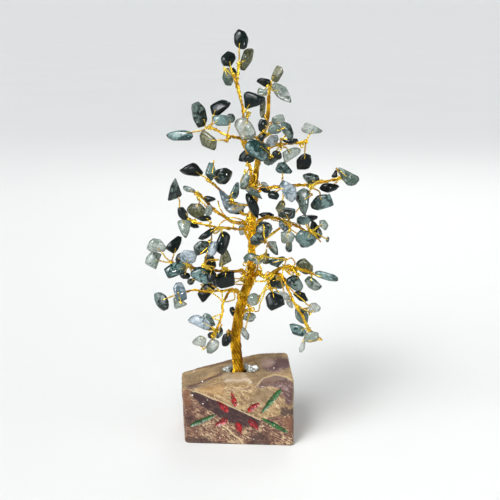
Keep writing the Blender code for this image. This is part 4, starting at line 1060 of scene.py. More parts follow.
def stone_rings():
    """Rings of points up the walls of the block, over its top and down into the trunk's hole."""
    rings = []
    rim = plan(BLOCK_EDGE)

    def add(outline, height):
        rings.append(np.column_stack([outline, np.zeros(len(rim)) + height]))

    for share in BOTTOM_SHARES:
        add(plan(BLOCK_BATTER / 2 + BLOCK_EDGE, BLOCK_BATTER / 2) * share, 0)
    for turn in np.linspace(0, math.pi / 2, 5)[1:]:
        inset = BLOCK_BATTER * 0.48 + BLOCK_EDGE * (1 - math.sin(turn))
        add(plan(inset, BLOCK_BATTER * 0.48), BLOCK_EDGE * (1 - math.cos(turn)))
    for k in range(1, WALL_ROWS):
        share = k / WALL_ROWS
        drawn_in = BLOCK_BATTER * 0.45 * (1 - share)
        outline = plan(drawn_in, drawn_in)
        top = top_height(*outline.T) - BLOCK_EDGE
        add(outline, BLOCK_EDGE + (top - BLOCK_EDGE) * share)
    for turn in np.linspace(0, math.pi / 2, 6):
        outline = plan(BLOCK_EDGE * (1 - math.cos(turn)))
        add(outline, top_height(*outline.T) - BLOCK_EDGE * (1 - math.sin(turn)))
    angle = np.arctan2(rim[:, 1], rim[:, 0] - FOOT_X)
    round_it = np.column_stack([np.cos(angle), np.sin(angle)])
    in_front = (-np.sin(angle)).clip(0, 1)[:, None] ** 2
    hole = TRUNK_FOOT_DIAMETER / 2 + HOLE_CLEARANCE * (1 - 0.72 * in_front)
    foot = np.array([FOOT_X, 0])
    for k in range(1, TOP_ROWS + 1):
        outline = rim + (foot + round_it * hole - rim) * (k / TOP_ROWS)
        add(outline, top_height(*outline.T))
    for depth, reach in ((0.0006, 0.93), (0.003, 0.9), (0.95 * HOLE_DEPTH, 0.85), (HOLE_DEPTH, 0.3)):
        add(foot + round_it * hole * reach, SEAT_HEIGHT - depth)
    return rings


def ring_faces(rings, count):
    """Faces between rings of as many points each, with an end cap on each."""
    k = np.arange(count)
    n = (k + 1) % count
    faces = []
    for ring in range(rings - 1):
        low, high = ring * count, (ring + 1) * count
        faces.append(np.column_stack([low + k, low + n, high + n, high + k]))
    faces = np.vstack(faces).tolist()
    return faces + [list(k[::-1]), list((rings - 1) * count + k)]


def sway(points, size, seed, octaves=3):
    """Seeded noise at points, between about -1 and 1."""
    away = Vector((seed * 1.7, seed * 0.9, -seed * 2.3))
    return np.array([noise.fractal(Vector(point) / size + away, 0.9, 2.1, octaves) for point in points])


def stone_wear(flat, upward, from_foot, away, polished, ledge):
    """How far the rubbed and broken stone stands out at each point, with sand in front of the trunk."""
    wear = WEAR_BROAD * (sway(flat, 0.0085, 1) - 1) + WEAR_FINE * sway(flat, 0.0022, 2)
    rough = (1 - ((polished + 1) / 2).clip(0, 1)) * upward
    wear += rough * away * WEAR_TOP * sway(flat, 0.0011, 3)
    wear[flat[:, 2] < BLOCK_EDGE] *= 0.2
    wear[(from_foot < 0.55 * SEAT_RADIUS) & (upward > 0)] *= 0.2
    wear -= upward * away * LEDGE_DEPTH * np.exp(-(ledge / 1.1) ** 2)
    ahead = np.exp(-((np.arctan2(flat[:, 0] - FOOT_X, -flat[:, 1])) / HEAP_SPREAD) ** 2)
    heap = (1 - ((from_foot - HEAP_REACH) / HEAP_REACH).clip(0, 1) ** 2) * (from_foot < 2 * HEAP_REACH)
    return wear + HEAP_HEIGHT * ahead * heap * (flat[:, 2] > SEAT_HEIGHT - 0.0008) * (flat[:, 1] < 0.003)


def leant_back(points, flat, shown, count):
    """Points with the front face leaning back above its diagonal, and rubbed smooth there."""
    over = (flat[:, ::2] @ DIAGONAL_WAY - DIAGONAL_AT).clip(0, 40) / 1000
    points[:, 1] += FACET_LEAN * over * ((-0.006 - flat[:, 1]) / 0.014).clip(0, 1)
    grid = points.reshape(-1, count, 3)
    rubbed = (over * 150).clip(0, 1) * ((-0.003 - flat[:, 1]) / 0.006).clip(0, 1) * shown
    rubbed = rubbed.reshape(-1, count)[1:-1, :, None]
    for _ in range(RUBBING):
        between = (grid[:-2] + grid[2:]) / 2 - grid[1:-1]
        grid[1:-1] += 0.5 * between * rubbed
    return grid.reshape(-1, 3)


def stone_mesh(look):
    rings = stone_rings()
    count = len(rings[0])
    points = np.vstack(rings)
    flat = points.copy()
    mesh = bpy.data.meshes.new("carved stone")
    mesh.from_pydata(points.tolist(), [], ring_faces(len(rings), count))
    normals = np.zeros(len(points) * 3)
    mesh.vertices.foreach_get("normal", normals)
    normals = normals.reshape(-1, 3)
    low, high = SOLID_STONE
    front = ((-normals[:, 1] - 0.5) / 0.3).clip(0, 1) * (flat[:, 1] < -0.3 * BLOCK_DEPTH)
    upward = ((normals[:, 2] - 0.5) / 0.3).clip(0, 1) * (flat[:, 2] > 0.6 * SEAT_HEIGHT)
    from_foot = np.hypot(flat[:, 0] - FOOT_X, flat[:, 1])
    away = ((from_foot - SEAT_RADIUS) / SEAT_RADIUS).clip(0, 1)
    place = places_of(flat)
    ledge = far_from_line(place, LEDGE)
    shown = np.maximum(front, upward)
    polished = np.where(shown > 0.5, inside_patch(place, POLISHED), -9)
    wear = stone_wear(flat, upward, from_foot, away, polished, ledge)
    across, up = (flat[:, 0] - FLOWER_MIDDLE[0]) * 1000, (flat[:, 2] - FLOWER_MIDDLE[1]) * 1000
    petal = np.max([inside_cut(across, up, *cut, PETAL_FULLEST) for cut in PETALS], axis=0)
    leaf = np.max([inside_cut(across, up, *cut, LEAF_FULLEST) for cut in LEAVES], axis=0)
    cut = np.maximum(petal, leaf)
    depth = CUT_DEPTH * np.minimum(1, (cut.clip(0, 9) / CUT_RUN)) ** 0.7
    points = flat + normals * wear[:, None]
    points = leant_back(points, flat, (polished > -2) * away, count)
    points -= normals * (front * depth)[:, None]
    points = points.clip(low, high)
    mesh.vertices.foreach_set("co", points.ravel())
    stored = {"petal_cut": np.where(front > 0.5, petal, -1), "leaf_cut": np.where(front > 0.5, leaf, -1),
              "top_side": upward, "polished_part": polished}
    for name, outline in PATCHES.items():
        stored[name + "_patch"] = np.where(shown > 0.5, inside_patch(place, outline), -9)
    for name, line in LINES.items():
        stored[name + "_line"] = np.where(shown > 0.5, far_from_line(place, line), 9)
    spots = np.min([np.linalg.norm(place - spot, axis=1) for spot in GLINT_SPOTS], axis=0)
    stored["facet_glints"] = np.where(shown > 0.5, spots, 9)
    inside = from_foot < TRUNK_FOOT_DIAMETER / 2 + HOLE_CLEARANCE + 0.0003
    stored["hole_depth"] = np.where(inside, (SEAT_HEIGHT - flat[:, 2]) / 0.0006, 0)
    store(mesh, stored)
    mesh.materials.append(look)
    mesh.shade_smooth()
    mesh.update()
    return mesh


# Glitter

def bed_mesh(look):
    """Lumpy band of glue and crushed crystal round the back of the trunk's hole."""
    draw = random.Random(STONE_SEED)
    inner = TRUNK_FOOT_DIAMETER / 2 + HOLE_CLEARANCE + GAP
    sizes = []
    for k in range(BED_STATIONS):
        share = k / (BED_STATIONS - 1)
        ends = min(1, 5 * share + 0.25, 5 * (1 - share) + 0.25)
        sizes.append((BED_WIDTH * (1.35 - 0.55 * share) * ends * draw.uniform(0.85, 1.1),
                      BED_HEIGHT * ends * draw.uniform(0.7, 1.0)))
    width, height = (spread(values, BED_COLUMNS) for values in zip(*sizes))
    outs, ups = spread(BED_OUTS, BED_ROWS), spread(BED_UPS, BED_ROWS)
    rings = []
    for k, share in enumerate(np.linspace(0, 1, BED_COLUMNS)):
        angle = math.radians(-18 + 218 * share)
        out = inner + width[k] * outs
        rings.append(np.column_stack([FOOT_X + math.cos(angle) * out, math.sin(angle) * out,
                                      SEAT_HEIGHT + GAP + height[k] * ups]))
    points = np.vstack(rings)
    lumps = 0.0007 * sway(points, 0.0024, 7) - 0.0007
    risen = ((points[:, 2] - SEAT_HEIGHT - 2 * GAP) / 0.001).clip(0, 1)
    points[:, 2] += lumps * risen
    mesh = bpy.data.meshes.new("glue bed")
    mesh.from_pydata(points.tolist(), [], ring_faces(len(rings), BED_ROWS))
    mesh.materials.append(look)
    mesh.shade_smooth()
    return mesh


def shard_tree():
    """Nodes that scatter crystal splinters over the bed."""
    tree, given, end = new_tree(
        "crushed crystal", "Geometry",
        {"Bed": "Geometry", "Density": "Float", "Smallest": "Float", "Largest": "Float", "Seed": "Int",
         "Finish": "Material"}, {"Crystal": "Geometry"})
    seed = given["Seed"]

    def drawn(kind, inputs):
        return put(tree, "FunctionNodeRandomValue", inputs, data_type=kind).outputs

    spots = put(tree, "GeometryNodeDistributePointsOnFaces",
                {"Mesh": given["Bed"], "Density": given["Density"], "Seed": seed})
    shard = put(tree, "GeometryNodeMeshIcoSphere", {"Radius": 1.0, "Subdivisions": 1})
    size = drawn("FLOAT", {2: given["Smallest"], 3: given["Largest"], "Seed": seed})[1]
    turn = drawn("FLOAT_VECTOR", {1: (math.tau, math.tau, math.tau), "Seed": seed})[0]
    shape = drawn("FLOAT_VECTOR", {0: (0.5, 0.5, 0.35), 1: (1.2, 1.0, 0.8), "Seed": 4})[0]
    laid = put(tree, "GeometryNodeInstanceOnPoints",
               {"Points": spots.outputs["Points"], "Instance": shard.outputs["Mesh"], "Rotation": turn,
                "Scale": vector(tree, "SCALE", shape, scale=size)})
    hand_out(tree, laid.outputs[0], given["Finish"], end["Crystal"])
    return tree


# Finishes

class Finish:
    """A material's nodes, with short ways to add to them."""

    def __init__(self, name):
        self.material = bpy.data.materials.new(name)
        self.material.use_nodes = True
        self.tree = self.material.node_tree
        self.shader = self.tree.nodes["Principled BSDF"]
        self.place = put(self.tree, "ShaderNodeTexCoord").outputs["Object"]

    def set(self, **values):
        for name, value in values.items():
            give(self.tree, self.shader.inputs[name.replace("_", " ")], value)

    def attribute(self, name):
        return put(self.tree, "ShaderNodeAttribute", attribute_name=name).outputs["Fac"]

    def noise(self, scale, detail=3.0, rough=0.55, distort=0.0, place=None):
        return speckle(self.tree, place or self.place, scale, detail, rough, distort)

    def step(self, value, start, end, low=0.0, high=1.0):
        return eased(self.tree, value, start, end, low, high)

    def mix(self, factor, one, two):
        made = put(self.tree, "ShaderNodeMix", {0: factor}, data_type="RGBA")
        for socket, value in ((made.inputs[6], one), (made.inputs[7], two)):
            give(self.tree, socket, (*value, 1) if isinstance(value, tuple) else value)
        return made.outputs[2]

    def fade(self, value, start, end, one, two, strength=1.0):
        """One colour, and more and more of the other as a value goes from start to end."""
        return self.mix(self.step(value, start, end, 0.0, strength), one, two)

    def calc(self, operation, *values):
        return calc(self.tree, operation, *values)

    def times(self, one, two, clamp=False):
        return calc(self.tree, "MULTIPLY", one, two, clamp=clamp)

    def plus(self, one, two):
        return calc(self.tree, "ADD", one, two)

    def about_half(self, value, reach):
        """How far a value is from a half, times a reach."""
        return self.times(self.calc("SUBTRACT", value, 0.5), reach)

    def turned(self, lengths, angle):
        """Places turned about the front-to-back axis, then counted in the given lengths."""
        return put(self.tree, "ShaderNodeMapping",
                   {"Vector": self.place, "Rotation": (0, math.radians(angle), 0), "Scale": lengths},
                   vector_type="TEXTURE").outputs[0]

    def bump(self, height, strength, distance):
        inputs = {"Height": height, "Strength": strength, "Distance": distance}
        made = put(self.tree, "ShaderNodeBump", inputs)
        self.tree.links.new(made.outputs[0], self.shader.inputs["Normal"])

    def group(self, group, **values):
        return put(self.tree, "ShaderNodeGroup", {"Place": self.place, **values}, node_tree=group).outputs

    def wear(self, grain, cloud):
        """Grain, cloud and fleck of a handled surface."""
        return self.group(HANDLED, Grain=grain, Cloud=cloud)


def wear_group():
    """Rubbing and grime shared by every finish: a fine grain, a broad cloud and a bright fleck."""
    tree, given, end = new_tree("handled surface", "Shader",
                                {"Place": "Vector", "Grain": "Float", "Cloud": "Float"},
                                {"Grain": "Float", "Cloud": "Float", "Fleck": "Float"})
    place, grain = given["Place"], given["Grain"]
    speck = speckle(tree, place, calc(tree, "MULTIPLY", grain, 1.7), 1.0)
    fleck = put(tree, "ShaderNodeMapRange", {"Value": speck, "From Min": 0.64, "From Max": 0.72})
    tree.links.new(speckle(tree, place, grain, 2.0), end["Grain"])
    tree.links.new(speckle(tree, place, given["Cloud"], 3.0), end["Cloud"])
    tree.links.new(fleck.outputs[0], end["Fleck"])
    return tree


def gold_finish(name, bright, dull, roughness):
    made = Finish(name)
    worn = made.wear(2600.0, 140.0)
    colour = made.fade(worn["Cloud"], 0.36, 0.64, dull, bright)
    made.set(Base_Color=colour, Metallic=1.0, Specular_IOR_Level=0.5)
    made.set(Roughness=made.step(worn["Grain"], 0.3, 0.7, roughness - 0.06, roughness + 0.08))
    made.bump(worn["Grain"], 0.15, 0.00003)
    return made.material


def moss_group():
    """Inclusions of moss agate: the cloudy body, dark threads and pale flecks."""
    tree, given, end = new_tree("moss inclusions", "Shader",
                                {"Place": "Vector", "Size": "Float", "Threads": "Float"},
                                {"Body": "Float", "Threads": "Float", "Flecks": "Float"})
    place, size = given["Place"], given["Size"]
    fine = calc(tree, "MULTIPLY", size, 2.1)
    veins = speckle(tree, place, fine, 4.0, 0.65, 1.6)
    off_middle = calc(tree, "ABSOLUTE", calc(tree, "SUBTRACT", veins, 0.5))
    reach = calc(tree, "MULTIPLY", given["Threads"], 0.12)
    threads = calc(tree, "SUBTRACT", 1.0, calc(tree, "DIVIDE", off_middle, reach), clamp=True)
    spots = put(tree, "ShaderNodeTexVoronoi", {"Vector": place, "Scale": fine, "Randomness": 1.0})
    flecks = put(tree, "ShaderNodeMapRange",
                 {"Value": spots.outputs["Distance"], "From Min": 0.22, "From Max": 0.1})
    tree.links.new(speckle(tree, place, size, 3.0, 0.6, 0.8), end["Body"])
    tree.links.new(threads, end["Threads"])
    tree.links.new(flecks.outputs[0], end["Flecks"])
    return tree


def agate_finish(tone, dark, light, thread_and_rim_shade, clear, gloss=0.5):
    made = Finish("agate " + tone)
    moss = made.group(MOSS, Size=330.0, Threads=1.0)
    worn = made.wear(1500.0, 90.0)
    shade = made.step(made.attribute("chip_shade"), 0, 1, -0.09, 0.09)
    lean = made.times(made.attribute("chip_side"), 0.11)
    body = made.plus(made.plus(moss["Body"], shade), lean)
    colour = made.fade(body, 0.41, 0.6, dark, light)
    # Painted shade: each chip darkens towards its thread colour near its rim, in patches
    rim = made.times(made.step(made.attribute("chip_rim"), 0.72, 1.0), moss["Body"])
    colour = made.mix(made.times(rim, 1.1, clamp=True), colour, thread_and_rim_shade)
    colour = made.mix(made.times(moss["Threads"], 0.7), colour, thread_and_rim_shade)
    colour = made.mix(made.times(moss["Flecks"], 0.3), colour, light)
    made.set(Base_Color=colour, Transmission_Weight=clear, IOR=1.54, Specular_IOR_Level=gloss)
    made.set(Roughness=made.step(worn["Cloud"], 0.35, 0.65, 0.08, 0.23))
    made.bump(made.plus(worn["Grain"], made.times(worn["Cloud"], 3.0)), 0.25, 0.00008)
    return made.material


def stone_finish():
    made = Finish("painted stone")
    worn = made.wear(1900.0, 160.0)
    streaks = made.noise(1.0, 4.0, 0.65, 0.5, made.turned((0.0021, 0.0008, 0.0008), 26))
    veins = made.noise(1.0, 3.0, 0.5, 0.3, made.turned((0.011, 0.0022, 0.003), 38))
    curls = made.noise(1.0, 4.0, 0.62, 0.5, made.turned((0.0046, 0.0013, 0.0016), 38))
    broad = made.noise(95.0, 3.0, 0.5, 0.4)
    fine = made.noise(820.0, 4.0, 0.7)
    ripple = made.about_half(made.noise(520.0, 3.0, 0.65), 5.0)
    ragged = made.plus(made.about_half(made.noise(130.0, 3.0, 0.6), 9.0), ripple)

    def patched(colour, rows):
        """A colour with patches over it, each with a ragged edge, and soft and strong as given."""
        for name, soft, loose, shift, strength, tone in rows:
            edge = made.plus(made.times(ragged, loose), shift)
            mask = made.step(made.plus(made.attribute(name + "_patch"), edge), -soft, soft, 0.0, strength)
            colour = made.mix(mask, colour, tone)
        return colour

    def lined(colour, name, wide, strength, tone, loose=0.3):
        """A colour with a line of a tone over it."""
        edge = made.plus(made.attribute(name + "_line"), made.times(ripple, loose))
        return made.fade(edge, wide, 0.35 * wide, colour, tone, strength)

    # Mottled lower ground, streaked towards the lower right
    earth = made.fade(streaks, 0.36, 0.52, STONE_DARK, STONE_BROWN)
    pale = made.plus(streaks, made.about_half(broad, 0.3))
    ground = made.fade(pale, 0.49, 0.57, earth, STONE_FAWN)
    ground = made.fade(pale, 0.55, 0.63, ground, STONE_CREAM)
    off_vein = made.calc("ABSOLUTE", made.calc("SUBTRACT", veins, 0.52))
    ground = made.fade(off_vein, 0.018, 0.006, ground, STONE_CREAM, 0.7)
    shadow = made.fade(streaks, 0.4, 0.56, STONE_DARK, STONE_BROWN)
    ground = made.fade(made.noise(62.0, 3.0, 0.6, 0.6), 0.5, 0.62, ground, shadow, 0.75)
    umber = made.fade(fine, 0.5, 0.66, STONE_BAND, STONE_BROWN)
    rows = [(name, 2.6, 1.0, 0.0, 0.85, umber) for name in ("foot", "dark_left", "dark_foot")]
    rows += [(name, 2.5, 1.0, 0.0, 0.8, STONE_RUST) for name in ("rust", "rust_right")]
    ground = lined(patched(ground, rows), "seam", 1.2, 0.8, STONE_CREAM)

    # Tan upper part with brown spots, warmer on the left
    tan = made.fade(streaks, 0.34, 0.54, STONE_SPOT, STONE_TAN)
    tan = made.fade(fine, 0.54, 0.7, tan, STONE_CREAM, 0.8)
    tan = made.fade(broad, 0.54, 0.64, tan, STONE_SPOT, 0.8)
    tan = made.fade(curls, 0.5, 0.6, tan, STONE_SPOT, 0.75)
    tan = made.fade(curls, 0.44, 0.38, tan, STONE_CREAM, 0.7)
    tan = patched(tan, [("amber", 3.0, 1.0, 0.0, 0.65, STONE_AMBER)])
    tan = made.fade(off_vein, 0.014, 0.004, tan, STONE_CREAM, 0.6)
    smoky = made.fade(broad, 0.4, 0.6, STONE_OLIVE, STONE_GREY)
    plum = made.fade(fine, 0.45, 0.62, STONE_PLUM, STONE_UMBER)
    plum = made.fade(curls, 0.5, 0.62, plum, STONE_MAUVE, 0.8)
    band = made.fade(fine, 0.5, 0.68, STONE_BAND, STONE_PLUM)
    band = made.fade(curls, 0.52, 0.64, band, STONE_UMBER, 0.7)
    front = patched(ground, [
        ("upper", 1.0, 0.35, 0.0, 1.0, tan), ("olive", 4.0, 0.6, 0.0, 0.85, smoky),
        ("dome", 2.0, 1.0, 0.0, 1.0, plum), ("crest", 2.4, 1.0, 0.0, 0.85, STONE_UMBER_PALE),
        ("dark", 2.6, 1.4, 0.0, 0.9, STONE_BAND), ("band", 1.2, 0.55, 0.3, 1.0, band)])
    front = lined(front, "cream", 1.0, 0.75, STONE_CREAM)
    heaped = made.plus(made.attribute("mound_patch"), made.times(ragged, 0.9))
    mound = made.times(made.step(heaped, -4.5, 4.5), made.step(streaks, 0.3, 0.56, 0.25, 0.7))
    front = made.mix(mound, front, made.mix(fine, STONE_BLUSH, STONE_CREAM))
    # Painted highlight: a pale line where the rounded top edge of the front face catches the light
    front = lined(front, "glint", 2.4, 0.4, PAINTED_EDGE_HIGHLIGHT, 1.2)

    # Sawn, sandy top and plain sides
    sand = made.fade(fine, 0.38, 0.58, STONE_SPOT, STONE_SAND)
    sand = made.fade(broad, 0.42, 0.6, sand, STONE_TAN)
    sand = made.fade(worn["Grain"], 0.56, 0.74, sand, STONE_CREAM, 0.8)
    mauve = made.fade(fine, 0.42, 0.56, STONE_BAND, STONE_MAUVE)
    mauve = made.fade(broad, 0.45, 0.6, mauve, STONE_MAUVE)
    sand = made.fade(curls, 0.52, 0.64, sand, STONE_SPOT, 0.6)
    pink = made.fade(fine, 0.42, 0.6, STONE_BLUSH, STONE_MAUVE)
    sand = patched(sand, [
        ("mauve", 2.2, 1.0, 0.0, 1.0, mauve), ("violet", 2.2, 1.0, 0.0, 0.9, STONE_PLUM),
        ("blush", 3.2, 1.2, 0.0, 0.7, pink), ("shade", 2.0, 1.0, 0.0, 0.7, STONE_SPOT)])
    side = made.fade(broad, 0.47, 0.58, ground, sand)
    body = made.mix(made.attribute("top_side"), side, sand)
    edge = made.plus(made.attribute("polished_part"), made.times(ripple, 0.3))
    polished = made.step(edge, -0.6, 0.6)
    colour = made.mix(polished, body, front)
    # The two ledge lines are painted shade, darkening the groove that runs along the ledge
    for name, wide, strength, tone in (("ledge", 2.0, 0.9, STONE_SPOT), ("ledge", 0.9, 0.7, STONE_PLUM),
                                       ("rear", 1.8, 0.85, STONE_SPOT), ("arc", 1.1, 0.6, STONE_CREAM)):
        colour = lined(colour, name, wide, strength, tone)
    glints = made.plus(made.attribute("facet_glints"), made.times(ripple, 0.45))
    colour = made.fade(glints, 0.75, 0.25, colour, STONE_GLINT, 0.85)
    colour = made.fade(made.attribute("hole_depth"), 0.3, 1.0, colour, HOLE_SHADE)

    # Red and green enamel in the cuts
    glaze = made.noise(520.0, 3.0, 0.6, 0.5)
    chipped = made.about_half(made.noise(1100.0, 2.0), 0.5)
    cuts = []
    for name, deep, bright in (("petal_cut", RED_DEEP, RED_BRIGHT), ("leaf_cut", GREEN_DEEP, GREEN_BRIGHT)):
        cuts.append(made.step(made.plus(made.attribute(name), chipped), -0.06, 0.1))
        colour = made.mix(cuts[-1], colour, made.fade(glaze, 0.36, 0.6, deep, bright))
    painted = made.calc("MAXIMUM", *cuts)
    gloss = made.calc("MAXIMUM", painted, made.times(polished, 0.75))
    dull = made.step(worn["Grain"], 0.3, 0.7, 0.6, 0.85)
    shiny = made.step(worn["Cloud"], 0.3, 0.7, 0.22, 0.42)
    made.set(Base_Color=colour, IOR=1.5, Specular_IOR_Level=0.35)
    dull = made.times(dull, made.calc("SUBTRACT", 1.0, gloss))
    made.set(Roughness=made.plus(dull, made.times(shiny, gloss)))
    made.set(Coat_Weight=made.times(painted, 0.5), Coat_Roughness=0.08)
    height = made.plus(made.times(streaks, 1.2), worn["Grain"])
    height = made.times(height, made.step(painted, 0.0, 1.0, 1.0, 0.15))
    height = made.plus(height, made.times(glaze, made.times(painted, 0.7)))
    made.bump(height, 0.55, 0.00018)
    return made.material


def crystal_finish():
    """Crushed crystal: white, clear green and dark splinters side by side."""
    made = Finish("crushed crystal")
    worn = made.wear(1500.0, 520.0)
    colour = made.fade(worn["Cloud"], 0.4, 0.6, (0.2, 0.27, 0.24), (0.88, 0.92, 0.92))
    colour = made.fade(worn["Grain"], 0.55, 0.62, colour, (0.02, 0.035, 0.03), 0.9)
    made.set(Base_Color=colour, Specular_IOR_Level=0.7, Coat_Weight=0.8, Coat_Roughness=0.05)
    made.set(Roughness=made.step(worn["Grain"], 0.3, 0.7, 0.08, 0.3))
    made.bump(worn["Grain"], 0.4, 0.0001)
    return made.material


def glue_finish():
    """Clear glue with sand and crystal dust in it."""
    made = Finish("clear glue")
    worn = made.wear(1700.0, 380.0)
    colour = made.fade(worn["Cloud"], 0.4, 0.6, STONE_SAND, (0.2, 0.22, 0.17))
    colour = made.fade(worn["Grain"], 0.52, 0.6, colour, (0.75, 0.8, 0.78), 0.85)
    colour = made.mix(worn["Fleck"], colour, (0.02, 0.03, 0.025))
    made.set(Base_Color=colour, Transmission_Weight=0.2, Coat_Weight=0.7, Coat_Roughness=0.08)
    made.set(Roughness=made.step(worn["Grain"], 0.3, 0.7, 0.15, 0.4))
    made.bump(worn["Grain"], 0.5, 0.00015)
    return made.material


def flake_mesh(look):
    """Large faceted flakes of crystal that lie on the right side of the bed."""
    draw = random.Random(STONE_SEED + 1)
    made = bmesh.new()
    for across, back, up, long, wide in FLAKES:
        start = len(made.verts)
        bmesh.ops.create_icosphere(made, subdivisions=1, radius=1)
        made.verts.ensure_lookup_table()
        tilt = Matrix.Rotation(draw.uniform(-0.4, 0.4), 3, "Y")
        tilt @= Matrix.Rotation(draw.uniform(0.3, 0.9), 3, "X")
        for vert in made.verts[start:]:
            shape = Vector((vert.co.x * long, vert.co.y * wide, vert.co.z * wide * 0.4))
            shape *= draw.uniform(0.75, 1.1)
            vert.co = Vector((FOOT_X + across, back, SEAT_HEIGHT + up)) + tilt @ shape
    mesh = bpy.data.meshes.new("crystal flakes")
    made.to_mesh(mesh)
    made.free()
    mesh.materials.append(look)
    return mesh


# Tones on the block, with its painted highlights and the painted shade in the trunk's hole
STONE_TAN = (0.34, 0.225, 0.105)
STONE_SAND = (0.26, 0.185, 0.095)
STONE_CREAM = (0.52, 0.4, 0.23)
STONE_FAWN = (0.33, 0.205, 0.125)
STONE_BROWN = (0.15, 0.068, 0.044)
STONE_DARK = (0.06, 0.023, 0.019)
STONE_SPOT = (0.15, 0.082, 0.04)
STONE_AMBER = (0.36, 0.2, 0.07)
STONE_RUST = (0.15, 0.06, 0.03)
STONE_OLIVE = (0.15, 0.097, 0.045)
STONE_GREY = (0.23, 0.155, 0.085)
STONE_PLUM = (0.075, 0.035, 0.033)
STONE_UMBER = (0.115, 0.06, 0.045)
STONE_MAUVE = (0.24, 0.16, 0.15)
STONE_BAND = (0.035, 0.015, 0.016)
STONE_BLUSH = (0.44, 0.31, 0.22)
STONE_UMBER_PALE = (0.17, 0.1, 0.065)
# Painted highlight along the rounded top edge of the front face
PAINTED_EDGE_HIGHLIGHT = (0.72, 0.62, 0.5)
STONE_GLINT = (0.9, 0.88, 0.84)
HOLE_SHADE = (0.01, 0.008, 0.006)
RED_DEEP = (0.1, 0.0006, 0.003)
RED_BRIGHT = (0.38, 0.0012, 0.005)
GREEN_DEEP = (0.003, 0.035, 0.006)
GREEN_BRIGHT = (0.015, 0.13, 0.02)

# Parts of the block on the front view
POLISHED = [(-72, -24), (-60, -14), (-28, -2), (-19, -1), (-5, -3), (2, -11), (5, -17), (13, -8.5), (25, -5),
            (35, -8.5), (42, -12), (60, -12), (60, -90), (-80, -90)]
LEDGE = [(-60, -14), (-28, -2)]
PATCHES = {
    "upper": [(-58, -18), (-28, 0), (0, 0), (60, 0), (60, -40), (11, -48), (-27, -31)],
    "amber": [(-55, -17), (-45, -14), (-28, -14), (-26, -22), (-33, -25), (-48, -20)],
    "band": [(-59, -21), (-55, -20), (-27, -31.6), (10, -48), (9.5, -56), (-2, -56), (-19, -51),
             (-30, -46), (-43, -38), (-52, -30), (-58, -25)],
    "olive": [(0, -25), (9.5, -19), (21, -19.5), (24, -25), (17, -34), (4, -34)],
    "dome": [(8, -16.5), (13, -8.5), (25, -5), (37, -8.5), (46, -14), (47, -35), (37, -36), (33, -27),
             (29, -20), (21, -17)],
    "dark": [(32, -38), (48, -38), (48, -45), (32, -45)],
    "mound": [(-27, -3), (-18, -2), (-5, -4), (1.6, -11), (-11, -10.5), (-23, -10)],
    "mauve": [(9, 9), (17, 13), (38, 12), (39, 5), (29, 0), (18, 0), (13, 5)],
    "foot": [(-68, -64), (-50, -66), (-30, -71), (-8, -74), (-8, -80), (-70, -80)],
    "rust": [(-70, -15), (-60, -18), (-59, -34), (-70, -36)],
    "shade": [(-6, 12), (4, 15), (10, 14), (6, 9), (-4, 8)],
    "dark_left": [(-67, -43), (-58, -43), (-52, -48), (-56, -54), (-67, -53)],
    "dark_foot": [(-1, -64), (8, -60), (17, -64), (20, -74), (2, -75)],
    "rust_right": [(33, -48), (46, -46), (46, -62), (36, -58)],
    "crest": [(11, -9), (24, -6), (32, -9), (26, -14), (14, -13)],
    "blush": [(8.5, 10), (14, 13.5), (22, 12), (24, 8), (18, 5.5), (11, 6)],
    "violet": [(13, 5), (20, 5), (24, 9), (28, 14), (38, 13), (39, 5), (27, 1.5), (17, 1)],
}

# Places on the front view where small crystal faces catch the light
GLINT_SPOTS = [
    (-57.5, -24), (-47, -32.5), (-42.5, -28.8), (-37, -18.5), (-18.8, -46.8), (14, -16.5), (24, 15.8),
    (18.3, 2), (24, 3.8), (32.5, -24), (27, -36), (-12, -33.5), (13.3, -54.5), (-56, 0.5), (-48, -9),
    (-30, -66), (37.5, -21), (-53, -60), (4, -68),
]

# Seams, edges and veins on the front view, and a line of painted highlight along the rounded top edge of the
# front face
LINES = {
    # Painted shade along the groove of the ledge
    "ledge": LEDGE,
    "arc": [(8, -15), (14, -8), (25, -4), (36, -7.5), (43, -12)],
    "cream": [(-55, -19.7), (-27, -31.6), (10, -48.4)],
    # Painted highlight along the rounded top edge of the front face
    "glint": [(-24, -9.3), (-17, -8.9), (-11, -10.3), (-5, -8.9), (-1, -10), (1, -12.4)],
    "seam": [(-27, -54.5), (-21, -58.5), (-16, -64), (-11, -67), (-6, -74)],
    "rear": [(-68.6, 0.3), (-45, 5), (-19, 10.6)],
}

# Sand in front of the trunk, and the shape of the block's mesh
HEAP_HEIGHT = 0.0012
HEAP_SPREAD = 1.0  # how far round the trunk the sand goes, in radians
HEAP_REACH = 0.0062
DIAGONAL_WAY = np.array([434, 901])  # square to the diagonal of the front face, per metre across and up
DIAGONAL_AT = 21.9  # where the diagonal lies that way, in millimetres
FACET_LEAN = 0.2  # how far the face above the diagonal leans back
RUBBING = 160  # rounds of smoothing
LEDGE_DEPTH = 0.0008
WEAR_BROAD = 0.00022  # depths of broad and fine hollows, and of the top's rough grain
WEAR_FINE = 0.00007
WEAR_TOP = 0.00018
CUT_RUN = 1.1  # how far inside its edge a cut reaches its full depth, in millimetres
CORNER_COLUMNS = 9  # points round each corner of the plan
SIDE_COLUMNS = (40, 70, 40, 200)  # points along the right, back, left and front sides
WALL_ROWS = 110
TOP_ROWS = 60
BOTTOM_SHARES = (0.2, 1.0)

# Glue bed: stations along it, points along and across it, and its section out and up
BED_STATIONS = 13
BED_COLUMNS = 90
BED_ROWS = 16
BED_OUTS = np.array([0, 0.12, 0.4, 0.75, 1]) * 0.96
BED_UPS = np.array([0, 0.7, 1.0, 0.6, 0]) * 0.88

# Large flakes: right of and behind the trunk's middle, above the seat, half length and half width
FLAKES = [(0.0102, 0.0006, 0.0026, 0.0021, 0.0014), (0.0066, 0.003, 0.0026, 0.0009, 0.0007),
          (0.0078, -0.0008, 0.0018, 0.0008, 0.0006), (-0.0072, 0.0004, 0.0022, 0.0008, 0.0006)]

